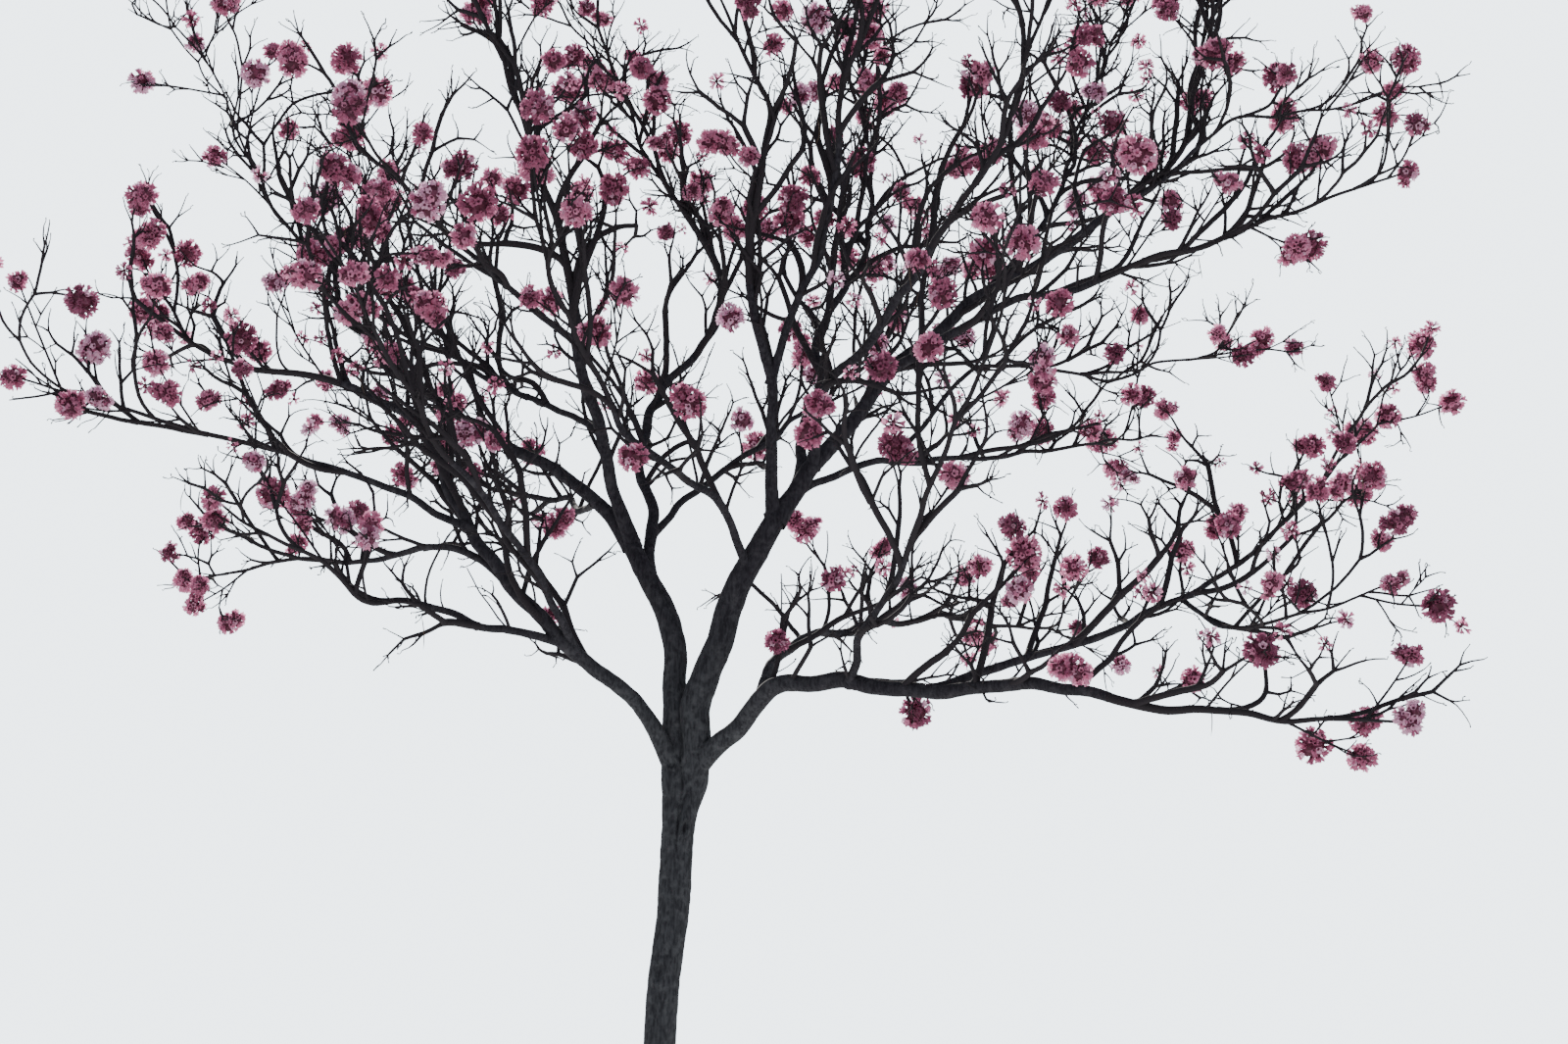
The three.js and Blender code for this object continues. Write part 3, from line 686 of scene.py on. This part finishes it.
def bark_material(name, bump):
    """Mottled bark: long streaks, pale patches and a fine grain, darker and browner up in the crown, with
    painted shade in the hollows of the relief.
    """
    made = material(name, BARK_TONES[0][1][:3], DULL, gloss=BARK_GLOSS)
    nodes = made.node_tree.nodes

    def noise(vector, scale, detail):
        inputs = {"Vector": vector, "Scale": scale, "Detail": detail}
        return fill(nodes.new("ShaderNodeTexNoise"), inputs).outputs["Fac"]

    def ramp(value, low, high):
        inputs = {"Value": value, "From Min": low, "From Max": high}
        return fill(nodes.new("ShaderNodeMapRange"), inputs).outputs["Result"]

    def blend(factor, first, second):
        mix = nodes.new("ShaderNodeMix")
        mix.data_type = "RGBA"
        return fill(mix, {"Factor": factor, "A": first, "B": second}).outputs["Result"]

    def mapped(vector, change, amount):
        inputs = {"Vector": vector, change: amount}
        return fill(nodes.new("ShaderNodeMapping"), inputs).outputs["Vector"]

    def vector_math(operation, inputs):
        made_node = nodes.new("ShaderNodeVectorMath")
        made_node.operation = operation
        return fill(made_node, inputs).outputs

    place = nodes.new("ShaderNodeTexCoord").outputs["Object"]
    streaks = noise(mapped(place, "Scale", STREAK_SQUEEZE), STREAK_SCALE, detail=6)
    fissures = ramp(streaks, *STREAK_EDGES)
    patches = ramp(noise(place, PATCH_SCALE, detail=4), *PATCH_EDGES)
    low_bark, high_bark = [
        blend(patches, blend(fissures, fissure, streak), patch) for fissure, streak, patch in BARK_TONES
    ]
    away = mapped(place, "Location", tuple(-part for part in FORK_PLACE))
    above = vector_math("MAXIMUM", {0: away, 1: (FAR_BELOW, FAR_BELOW, 0)})["Vector"]
    crown_share = ramp(vector_math("LENGTH", {0: above})["Value"], *FORK_REACH)
    # Painted shade: where the mesh is hollow, by its pointiness, the bark turns to the crown's fissure tone
    hollow = ramp(nodes.new("ShaderNodeNewGeometry").outputs["Pointiness"], *HOLLOW_SHADE_EDGES)
    bark = blend(hollow, blend(crown_share, low_bark, high_bark), BARK_TONES[1][0])
    inputs = {"Strength": bump, "Distance": BUMP_HEIGHT, "Height": streaks}
    raised = fill(nodes.new("ShaderNodeBump"), inputs)
    fill(nodes["Principled BSDF"], {"Base Color": bark, "Normal": raised.outputs["Normal"]})
    return made


def petal_material(name, colour):
    """A thin petal: matt, and light from behind shines through it."""
    made = material(name, colour, PETAL_ROUGHNESS)
    nodes = made.node_tree.nodes
    glow = [min(1.0, THROUGH_GAIN * part) for part in colour]
    through = fill(nodes.new("ShaderNodeBsdfTranslucent"), {"Color": (*glow, 1)})
    mix = fill(nodes.new("ShaderNodeMixShader"), {
        "Fac": 0.5, 1: nodes["Principled BSDF"].outputs["BSDF"], 2: through.outputs["BSDF"],
    })
    fill(nodes["Material Output"], {"Surface": mix.outputs["Shader"]})
    return made


trunk_bark = bark_material("trunk_bark", bump=0.9)
bough_bark = bark_material("bough_bark", bump=0.8)
twig_bark = material("twig_bark", (0.027, 0.024, 0.029), DULL, gloss=0.1)
pod_skin = material("pod_skin", (0.07, 0.045, 0.03), roughness=0.8)
FLOWER_MATERIALS = [petal_material(name, colour) for name, colour in PETAL_COLOURS.items()]
# The tubes and the core of buds: their own dark colour, made darker still as painted shade inside the heads
FLOWER_MATERIALS.append(petal_material("flower_tube_and_shade", (0.14, 0.038, 0.072)))
TUBE_AND_SHADE_TONE = len(PETAL_COLOURS)


# Trunk
def trunk_radius(angle, height, radius):
    flare = FLARE_REACH * np.exp(-height / FLARE_HEIGHT)
    round_one = radius + flare * (1 - FLARE_DEPTH + FLARE_DEPTH * np.cos(FLARE_LOBES * angle))
    across = np.maximum(0, STEM_FOOT ** 2 - (STEM_APART * np.sin(angle)) ** 2)
    lobed = np.maximum(LOBES_WAIST, STEM_APART * np.abs(np.cos(angle)) + np.sqrt(across))
    split = smooth_step(height, LOBES_START, TRUNK_TOP)
    return round_one * (1 - split) + lobed * split


def make_trunk():
    """The trunk, which draws in under its stems near its top, so that they take over its surface."""
    step, around = TRUNK_FINENESS
    heights = np.linspace(0, TRUNK_TOP, int(TRUNK_TOP / step) + 1)
    height, turn = np.meshgrid(heights, turns(around), indexing="ij")
    lean = np.interp(height, TRUNK_HEIGHTS, TRUNK_LEANS)
    radius = trunk_radius(turn, height, np.interp(height, TRUNK_HEIGHTS, TRUNK_RADII))
    radius = radius * (1 - DRAW_IN * smooth_step(height, TRUNK_TOP - DRAW_IN_HEIGHT, TRUNK_TOP)
                       - RIM_DRAW_IN * smooth_step(height, TRUNK_TOP - RIM_HEIGHT, TRUNK_TOP))
    radius = radius + bark_relief(turn, height, TRUNK_RELIEF_SIZE, TRUNK_RELIEF_SEED)
    seam = smooth_step(height, SEAM_FOOT, TRUNK_TOP - SEAM_EASE)
    for side in (FRONT, -FRONT):
        away = np.angle(np.exp(1j * (turn - side)))
        radius = radius - SEAM_DEPTH * seam * np.exp(-(away / SEAM_HALF_WIDTH) ** 2)
    radius = scarred(radius, turn, height, TRUNK_SCAR_SIZE, SCARS["trunk"])
    points = np.stack([lean + radius * np.cos(turn), radius * np.sin(turn), height], -1).reshape(-1, 3)
    shape = Shape()
    shape.add(points, ring_faces(len(heights), around))
    piece = make_piece("trunk_bark_relief", shape, [trunk_bark], ["trunk"], "trunk_bark")
    close_ends(piece, len(heights), around)


def close_ends(piece, rings, around):
    """Flat caps over the first and last ring."""
    mesh = piece.data
    work = bmesh.new()
    work.from_mesh(mesh)
    work.verts.ensure_lookup_table()
    first = [work.verts[i] for i in range(around)][::-1]
    last = [work.verts[(rings - 1) * around + i] for i in range(around)]
    for ring in (first, last):
        work.faces.new(ring)
    work.to_mesh(mesh)
    work.free()


# Limbs: a fine smooth line through each crooked one, with bark relief
def fine_line(one, start, end, step):
    count = max(4, int((end - start) * one["whole"] / step) + 1)
    shares = np.linspace(start, end, count)
    index = np.interp(shares, one["shares"], np.arange(len(one["shares"])))
    points = np.array([spline_point(one["line"], place) for place in index])
    along = shares * one["whole"]
    seed = WOBBLE_SEED + 3 * one["index"]
    wobble = np.stack([
        value_noise(np.zeros(count), along / WOBBLE_LENGTH, 1, seed + axis) for axis in range(3)
    ], 1)
    ease = np.minimum(along / WOBBLE_EASE[0], (one["whole"] - along) / WOBBLE_EASE[1])
    ease = np.minimum(1, ease)[:, None]
    return points + LIMB_WOBBLE * wobble * ease, shares, along


def foot_of_twig(one, share):
    """The point of a limb's fine line where a twig springs from it."""
    return fine_line(one, share, min(share + FOOT_SHARE, 1), 1)[0][0]


def bark_tube(one, start, end, step, around, relief=1.0):
    """A stretch of a limb with its bark. A stem goes on into the trunk, a bough has a collar at its foot."""
    points, shares, along = fine_line(one, start, end, step)
    radius = girth_at(one, shares)
    roots = np.array(STEM_ROOTS.get(one["name"], []))
    if len(roots):
        leg = norm(points[0] - roots[-1])
        knots = np.vstack([roots, points[0], roots[-1] + 2 * leg * unit(points[2] - points[0])])
        count = int((points[0][2] - roots[0][2]) / step)
        places = np.linspace(0, len(roots), count, endpoint=False)
        buried = np.array([spline_point(knots, place) for place in places])
        points = np.vstack([buried, points])
        along = np.concatenate([buried[:, 2] - points[count][2], along])
        radius = np.concatenate([one["foot"] * (ROOT_GIRTH + (1 - ROOT_GIRTH) * places / len(roots)), radius])
    else:
        radius = radius * (1 + COLLAR_SWELL * np.exp(-along / (COLLAR_REACH * one["foot"])))
    grid_along, grid_angle = np.meshgrid(along, turns(around), indexing="ij")
    size = one["foot"] * LIMB_RELIEF_SHARE
    lumps = bark_relief(grid_angle, grid_along + 2, size, LIMB_RELIEF_SEED + 7 * one["index"])
    thin = np.minimum(1, radius / FULL_RELIEF_RADIUS)[:, None]
    girth = radius[:, None] + relief * lumps * thin
    girth = scarred(girth, grid_angle, grid_along, one["foot"], SCARS.get(one["name"], []))
    return tube(points, girth, around)


make_trunk()
for name, one in limbs.items():
    if one["start"]:
        fineness, bark, slot_name, node = BOUGH_FINENESS, bough_bark, "bough_bark", name + "_bough"
    else:
        fineness, bark, slot_name, node = STEM_FINENESS, trunk_bark, "trunk_bark", name
    shape = Shape()
    shape.add(*bark_tube(one, 0, one["bare"], *fineness))
    make_piece(name + "_bark_relief", shape, [bark], [node], slot_name)


# Twigs
box_low = np.array(CAD_BOX[0]) + BOX_MARGIN
box_high = np.array(CAD_BOX[1]) - BOX_MARGIN


def wander(draw, drop=0.5):
    return np.array([draw() - 0.5, draw() - 0.5, draw() - drop])


def curved(points):
    """Points along the smooth curve through a few others."""
    points = np.asarray(points)
    count = max(2, int(norm(np.diff(points, axis=0), axis=1).sum() / ARC_STEP + 0.5))
    return np.array([spline_point(points, place) for place in np.linspace(0, len(points) - 1, count + 1)])


def between(span, draw):
    """A draw from the least value of a span to that much more."""
    return span[0] + span[1] * draw()


def side_way(heading, turn, angle, lift):
    """A way that leaves a heading at an angle, turned about it, and lifted a little."""
    across = unit(np.array([-heading[1], heading[0], 1e-9]))
    beside = np.cross(heading, across)
    side = across * math.cos(turn) + beside * math.sin(turn)
    way = heading * math.cos(angle) + side * math.sin(angle)
    return unit(way + np.array([0, 0, lift]))


class Growth:
    """The twigs of one mass, added to a shape, and its heads, loose bunches and bare tips."""

    def __init__(self, one, twigs):
        self.one, self.twigs, self.heads, self.loose, self.tips = one, twigs, [], [], []

    def add_rod(self, points, foot, tip):
        """A twig that swells a little at its foot, with more sides the thicker it is."""
        radii = np.linspace(foot, tip, len(points))
        radii[0] *= FOOT_SWELL
        sides = 3 + sum(foot > girth for girth in SIDE_GIRTHS)
        self.twigs.add(*tube(np.asarray(points), radii, sides))

    def add_head(self, place, radius):
        free = all(norm(place - p) > HEADS_APART * (radius + r) for p, r in self.heads)
        if free and keeps_clear(self.one, place, radius):
            self.heads.append((place, radius))

    def has_room(self, place, radius, slack):
        """Inside the solids' box, and not far into the space of another limb."""
        if np.any(place < box_low + radius) or np.any(place > box_high - radius):
            return False
        gaps = limb_runs.distances(place, False)
        mine = limb_runs.owner == self.one["index"]
        return gaps[mine].min() < gaps[~mine].min() + slack

    def arc(self, start, way, length, slack, curl, draw):
        """A path that bends evenly to one side and rises, and stops where it would leave its space."""
        count = max(2, round(length / ARC_STEP))
        step = length / count
        bend = ARC_BEND * curl * step * wander(draw) + np.array([0, 0, ARC_RISE * step])
        points = [start]
        for _ in range(count):
            way = unit(way + bend + ARC_SHAKE * wander(draw))
            place = points[-1] + way * step
            if not self.has_room(place, FINE_FOOT, slack):
                break
            points.append(place)
        return points if len(points) > 2 else None

    def spray(self, start, way, reach, most, turn, chance, draw):
        """
        A shoot that arches and forks in two or three, and each of those again, to the finest twigs.
        Gives its radius at the foot, which comes from the twigs it bears, up to a most; 0 without room.
        """
        is_last = reach < LAST_REACH
        length = reach if is_last else max(SHORTEST_SHOOT, reach * between(SHOOT_REACH, draw))
        path = self.arc(start, way, length, ROOM + MORE_ROOM * reach, LAST_BEND if is_last else 1, draw)
        if path is None:
            return 0
        heading = unit(path[-1] - path[-2])
        borne = []
        if not is_last and len(path) > round(length / ARC_STEP):
            turn += FORK_TURN + TURN_SHAKE * (draw() - 0.5)
            onward = (most, turn, chance, draw)
            main = side_way(heading, turn, between(MAIN_ANGLE, draw), 0)
            side = side_way(heading, turn + math.pi, between(SIDE_ANGLE, draw), TWIG_LIFT * SIDE_LIFT)
            left = reach - length
            side_reach = left * between(SIDE_REACH, draw)
            borne.append(self.spray(path[-1], main, left, *onward))
            borne.append(self.spray(path[-1], side, side_reach, *onward))
            if draw() < THIRD_CHANCE:
                third = side_way(heading, turn + math.pi / 2, between(SIDE_ANGLE, draw), 0)
                borne.append(self.spray(path[-1], third, side_reach * THIRD_SHARE, *onward))
        if not any(borne):
            self.finish(path[-1], heading, chance, draw)
        elif draw() < SPUR_CHANCE:
            middle = len(path) // 2
            spur = side_way(heading, draw() * 2 * math.pi, between(SIDE_ANGLE, draw), 0)
            self.spray(path[middle], spur, LAST_REACH * between(SPUR_REACH, draw), most, turn, 0, draw)
        tip = min(most, max(FINE_TIP, sum(girth ** FORK_POWER for girth in borne) ** (1 / FORK_POWER)))
        foot = min(most, max(FINE_FOOT, tip + GIRTH_A_METRE * ARC_STEP * len(path)))
        self.add_rod(path, foot, tip)
        return foot

    def finish(self, end, heading, chance, draw):
        """A head of blossom at the end of a shoot, or else a bare fork."""
        size, kind = draw(), draw()
        if draw() < chance:
            is_loose = kind < LOOSE_SHARE
            heads, sizes = (self.loose, LOOSE_HEAD_SIZE) if is_loose else (self.heads, FINE_HEAD_SIZE)
            radius = sizes[0] + sizes[1] * size
            others = self.heads + self.loose
            free = all(norm(end - p) > FINE_HEADS_APART * (radius + r) for p, r in others)
            off_limbs = limb_runs.distances(end, False).min() > HEAD_OFF_LIMB
            if free and off_limbs and self.has_room(end, radius, ROOM):
                if wood_runs.distances(end, True).min() > radius:
                    heads.append((end, radius))
                    return
        self.tips.append(end)
        for _ in range(1 + int(draw() * MOST_STUBS)):
            way = unit(heading + STUB_TURN * wander(draw, STUB_DROP))
            tip = end + way * STUB_LENGTH * between(STUB_SPREAD, draw)
            if self.has_room(tip, 0, ROOM):
                middle = (end + tip) / 2 + STUB_CURL * wander(draw)
                radii = [FINE_TIP, STUB_NECK, BUD_GIRTH]
                self.twigs.add(*tube(np.array([end, middle, tip]), radii, around=3))


def solid_twigs(growth):
    """The side twigs in a spiral along the leader, a shoot from some, and their heads, as in the solids."""
    one = growth.one
    tip_draw = seeded(TIP_SEED + one["index"])
    growth.add_head(one["line"][-1], between(HEAD_SIZE, tip_draw))
    length = one["whole"] * (1 - one["bare"])
    paths = []

    def grow(ends, foot, tip, head_size):
        paths.append(curved(ends))
        growth.add_rod(paths[-1], foot, tip)
        growth.add_head(ends[-1], head_size)

    for twig in range(int((length - TWIG_START) / TWIG_STEP) + 1):
        draw = seeded(TWIG_SEED + SEEDS_A_LIMB * one["index"] + twig)
        share = one["bare"] + (TWIG_START + twig * TWIG_STEP) / one["whole"]
        start = point_at(one, share)
        turn = twig * GOLDEN_ANGLE + draw()
        angle = between(TWIG_ANGLE, draw)
        way = side_way(heading_at(one, share), turn, angle, TWIG_LIFT)
        reach = one["spread"] * between(TWIG_REACH, draw)
        tip_wander = wander(draw, TWIG_DROP)
        shoot_wander = wander(draw, TWIG_DROP)
        elbow = start + way * 0.5 * reach
        tip = elbow + unit(way + tip_wander * TWIG_BEND) * 0.5 * reach
        shoot = elbow + unit(way + shoot_wander * SHOOT_BEND) * SHOOT_SHARE * reach
        size = between(HEAD_SIZE, draw)
        shoot_size = between(SHOOT_HEAD_SIZE, draw)
        if not rod_keeps_clear(one, start + (elbow - start) * ROOT_SHARE, elbow):
            continue
        foot = foot_of_twig(one, share)
        ends = [foot, elbow, tip] if rod_keeps_clear(one, elbow, tip) else [foot, elbow]
        grow(ends, TWIG_FOOT, FINE_FOOT * TWIG_END_GIRTH, size)
        if twig % SHOOT_EVERY == 0 and rod_keeps_clear(one, elbow, shoot):
            sag = elbow + (shoot - elbow) * 0.5 + SHOOT_SAG * reach * way
            grow([elbow, sag, shoot], TWIG_FOOT * SHOOT_GIRTH, FINE_TIP, shoot_size)
    return paths


def grow_along(growth, draw, step, size, angles):
    """Sprays in a spiral along a limb, shorter and thinner towards its tip."""
    one = growth.one
    share = SPRAY_START
    turn = draw() * 2 * math.pi
    while share < SPRAY_END:
        turn += GOLDEN_ANGLE + TURN_SHAKE * draw()
        most = float(np.clip(girth_at(one, share), *THICKEST_SPRAY))
        way = side_way(heading_at(one, share), turn, between(angles, draw), TWIG_LIFT)
        way = unit(way * (1, 1, HANGING_SHARE if way[2] < 0 else 1))
        start = foot_of_twig(one, share)
        reach = one["spread"] * size * (SPRAY_REACH[0] - SPRAY_REACH[1] * share)
        reach = reach * between(REACH_SPREAD, draw)
        crowd = np.interp(start[2], *CROWDING)
        bloom = (BLOOM[0] + BLOOM[1] * draw() ** BLOOM_POWER) * BLOOM_OF_LIMB.get(one["name"], 1)
        chance = bloom * min(1, crowd) * (HEAD_CHANCE[0] + HEAD_CHANCE[1] * share)
        growth.spray(start, way, reach, most, turn, chance, draw)
        share += step * crowd * between(STEP_SPREAD, draw) / one["whole"]


def grow_mass(one, twigs):
    """A mass: its leader and the twigs of the solids, then finer sprays by the same rule."""
    growth = Growth(one, twigs)
    growth.twigs.add(*bark_tube(one, one["bare"], 1, *LEADER_FINENESS, LEADER_RELIEF))
    fine = seeded(FINE_SEED + one["index"])
    for path in solid_twigs(growth):
        turn = fine() * 2 * math.pi
        for i in range(2, len(path) - 1, 3):
            turn += math.pi + TURN_SHAKE * fine()
            way = side_way(unit(path[i + 1] - path[i - 1]), turn, between(SIDE_ANGLE, fine), TWIGLET_LIFT)
            growth.spray(path[i], way, between(TWIGLET_REACH, fine), FINE_FOOT, turn, HEAD_CHANCE[0], fine)
    grow_along(growth, fine, SPRAY_STEP, 1.0, SPRAY_ANGLE)
    grow_along(growth, fine, SMALL_SPRAY_STEP, SMALL_SPRAY_SHARE, SIDE_ANGLE)
    return growth


# Flowers: a few kinds of one trumpet, dealt out over each head
def trumpet(random):
    """Points, faces and face tones of one flower along Z, from the middle of its head."""
    corner = turns(5)
    middle = corner + math.pi / 5
    out = np.stack([np.cos(middle), np.sin(middle), 0 * middle], 1)
    across = np.stack([-np.sin(middle), np.cos(middle), 0 * middle], 1)
    up = np.array([0, 0, 1.0])
    throat = np.stack([np.cos(corner), np.sin(corner), 0 * corner], 1) * THROAT_RADIUS
    throat = throat + up * THROAT_PLACE * FLOWER_LENGTH
    ruffle = random.uniform(-LOBE_RUFFLE, LOBE_RUFFLE, (5, 3))[:, :, None]
    spread = random.uniform(*LOBE_SPREADS, 5)[:, None]
    shoulder = FLOWER_LENGTH * random.uniform(*SHOULDER_PLACES, 5)[:, None]
    end = FLOWER_LENGTH * random.uniform(*LOBE_ENDS, 5)[:, None]
    left = out * LOBE_SHOULDER * spread - across * LOBE_HALF_WIDTH + up * (shoulder + ruffle[:, 0])
    right = out * LOBE_SHOULDER * spread + across * LOBE_HALF_WIDTH + up * (shoulder + ruffle[:, 1])
    tip = out * LOBE_TIP * spread + up * (end + ruffle[:, 2])
    points = np.concatenate([[[0, 0, 0]], throat, left, right, tip])
    faces, tones = [], []
    for i in range(5):
        rim, next_rim, left_edge, right_edge, end_edge = 1 + i, 1 + (i + 1) % 5, 6 + i, 11 + i, 16 + i
        faces += [(0, next_rim, rim), (rim, next_rim, right_edge), (rim, right_edge, left_edge),
                  (left_edge, right_edge, end_edge)]
        tones += [TUBE_AND_SHADE_TONE, 0, 0, 0]
    return points, np.array(faces), np.array(tones)


def sphere_ways(count, random):
    """Directions spread evenly over a ball, then shaken a little and turned."""
    place = np.arange(count) + 0.5
    height = 1 - 2 * place / count
    turn = place * math.pi * (3 - math.sqrt(5)) + random.uniform(0, 2 * math.pi)
    flat = np.sqrt(1 - height ** 2)
    ways = np.stack([flat * np.cos(turn), flat * np.sin(turn), height], 1)
    ways += random.normal(0, WAY_SHAKE, ways.shape)
    return ways / norm(ways, axis=1)[:, None]


def add_flower(shape, place, way, size, tone, kind, random):
    points, faces, tones = kind
    across = unit(np.cross(way, NO_WAY_OUT))
    beside = np.cross(way, across)
    twist = random.uniform(0, 2 * math.pi)
    one_side = across * math.cos(twist) + beside * math.sin(twist)
    turned = np.stack([one_side, np.cross(way, one_side), way])
    shape.add(points * size @ turned + place, faces, np.where(tones == 0, tone, tones))


def core_ball(fineness):
    """The corners and faces of a ball, for the buds and calyxes inside a head."""
    work = bmesh.new()
    bmesh.ops.create_icosphere(work, subdivisions=fineness, radius=1)
    work.verts.ensure_lookup_table()
    points = np.array([corner.co for corner in work.verts])
    faces = np.array([[corner.index for corner in face.verts] for face in work.faces])
    work.free()
    return points, faces


FULL_CORE = core_ball(fineness=2)
SMALL_CORE = core_ball(fineness=1)


def add_core(shape, ball, place, radius, random):
    """A bumpy dark ball in two tones: the buds' and calyxes' own colour, made darker as painted shade inside
    the head.
    """
    points, faces = ball
    bumps = 1 - CORE_BUMPS * random.uniform(0, 1, (len(points), 1))
    tones = np.where(random.uniform(size=len(faces)) < CORE_DARK_SHARE, TUBE_AND_SHADE_TONE, TUBE_AND_SHADE_TONE - 1)
    shape.add(place + points * bumps * radius, faces, tones)


def head_balls(place, radius, random):
    """A head as one ball, or as one with smaller balls grown out of its sides."""
    count = int(random.choice(len(SIDE_BALL_CHANCES), p=SIDE_BALL_CHANCES))
    balls = [(place, radius * (1 - BALL_SHRINK * count))]
    for _ in range(count):
        way = unit(random.normal(0, 1, 3) * (1, 1, SIDE_BALL_RISE))
        share = between(SIDE_BALL_SHARE, random.uniform)
        far = between(SIDE_BALL_OFFSET, random.uniform)
        balls.append((place + way * radius * far, radius * share))
    return balls


def add_bunch(shape, balls, flowers, random):
    """Flowers that point out of each ball, left out where they would open inside another ball."""
    main = int(random.choice(TUBE_AND_SHADE_TONE, p=MAIN_TONE_SHARES))
    for number, (place, radius) in enumerate(balls):
        others = balls[:number] + balls[number + 1:]
        size = min(radius / FLOWER_LENGTH, LARGEST_FLOWER)
        base = max(0.0, radius - FLOWER_LENGTH * size)
        for way in sphere_ways(max(flowers[1], int(flowers[0] * radius * radius)), random):
            tone = main if random.uniform() < MAIN_TONE_CHANCE else int(random.randint(TUBE_AND_SHADE_TONE))
            kind = flower_kinds[random.randint(FLOWER_KINDS)]
            grown = size * random.uniform(*FLOWER_SIZES)
            mouth = place + way * radius
            if all(norm(mouth - other) > BALL_INSIDE * far for other, far in others):
                add_flower(shape, place + way * base, way, grown, tone, kind, random)


def add_heads(shape, growth, random):
    """Round heads full of flowers, and loose bunches with a few, around a core of buds."""
    for place, radius in growth.heads:
        balls = head_balls(place, radius, random)
        for ball_place, ball_radius in balls:
            ball = FULL_CORE if ball_radius > LARGE_BALL else SMALL_CORE
            add_core(shape, ball, ball_place, CORE_SHARE * ball_radius, random)
        add_bunch(shape, balls, FULL_BUNCH, random)
    for place, radius in growth.loose:
        add_core(shape, SMALL_CORE, place, LOOSE_CORE, random)
        add_bunch(shape, [(place, radius)], LOOSE_BUNCH, random)


def add_pods(shape, tips, random):
    """Thin pods that hang from the ends of bare twigs."""
    for number in random.choice(len(tips), POD_COUNT, replace=False):
        top = tips[number]
        length = random.uniform(*POD_LENGTHS)
        sway = random.uniform(-POD_SWAY, POD_SWAY, 2) * length
        share = np.linspace(0, 1, len(POD_RADII))[:, None]
        bow = np.array([sway[1], -sway[0], 0]) * np.sin(share * math.pi)
        points = top + share * np.array([sway[0], sway[1], -length]) + bow
        shape.add(*tube(points, POD_RADII, around=5))


flower_random = np.random.RandomState(FLOWER_SEED)
flower_kinds = [trumpet(flower_random) for _ in range(FLOWER_KINDS)]
tips = []
for first in range(0, len(masses), MASSES_A_PIECE):
    batch = masses[first:first + MASSES_A_PIECE]
    twigs, flowers = Shape(), Shape()
    for one in batch:
        growth = grow_mass(one, twigs)
        add_heads(flowers, growth, flower_random)
        tips += growth.tips
    nodes = [one["name"] + "_blossom" for one in batch]
    number = first // MASSES_A_PIECE + 1
    make_piece(f"twigs_{number}", twigs, [twig_bark], nodes, "bough_bark")
    make_piece(f"flowers_{number}", flowers, FLOWER_MATERIALS, nodes, "blossom", smooth=False)
pods = Shape()
add_pods(pods, tips, flower_random)
make_piece("seed_pods", pods, [pod_skin], [masses[0]["name"] + "_blossom"], "bough_bark")


# Floor, light and camera
def make_floor():
    mesh = bpy.data.meshes.new("floor")
    corners = [(x * FLOOR_HALF, y * FLOOR_HALF, 0) for x, y in ((-1, -1), (1, -1), (1, 1), (-1, 1))]
    mesh.from_pydata(corners, [], [(0, 1, 2, 3)])
    mesh.materials.append(material("floor", FLOOR_COLOUR, roughness=0.95))
    add_object("floor", mesh)


def make_light():
    world = bpy.data.worlds.new("studio")
    world.use_nodes = True
    nodes = world.node_tree.nodes
    sky = fill(nodes["Background"], {"Color": SKY_COLOUR, "Strength": SKY_STRENGTH})
    inputs = {"Color": BACKDROP_COLOUR, "Strength": BACKDROP_STRENGTH}
    backdrop = fill(nodes.new("ShaderNodeBackground"), inputs)
    mix = fill(nodes.new("ShaderNodeMixShader"), {
        "Fac": nodes.new("ShaderNodeLightPath").outputs["Is Camera Ray"],
        1: sky.outputs["Background"], 2: backdrop.outputs["Background"],
    })
    fill(nodes["World Output"], {"Surface": mix.outputs["Shader"]})
    bpy.context.scene.world = world
    sun = bpy.data.lights.new("sun", "SUN")
    sun.energy = SUN_STRENGTH
    sun.angle = SUN_WIDTH
    sun.color = SUN_COLOUR
    add_object("sun", sun).rotation_euler = SUN_TURN


def make_camera():
    camera = bpy.data.cameras.new("camera")
    camera.lens = LENS_MM
    camera.sensor_width = SENSOR_MM
    camera.clip_end = FAR_CLIP
    holder = add_object("camera", camera)
    holder.location = CAMERA_PLACE
    holder.rotation_euler = (math.radians(90) + CAMERA_TIP_UP, 0, 0)
    bpy.context.scene.camera = holder


make_floor()
make_light()
make_camera()
bpy.context.view_layer.update()
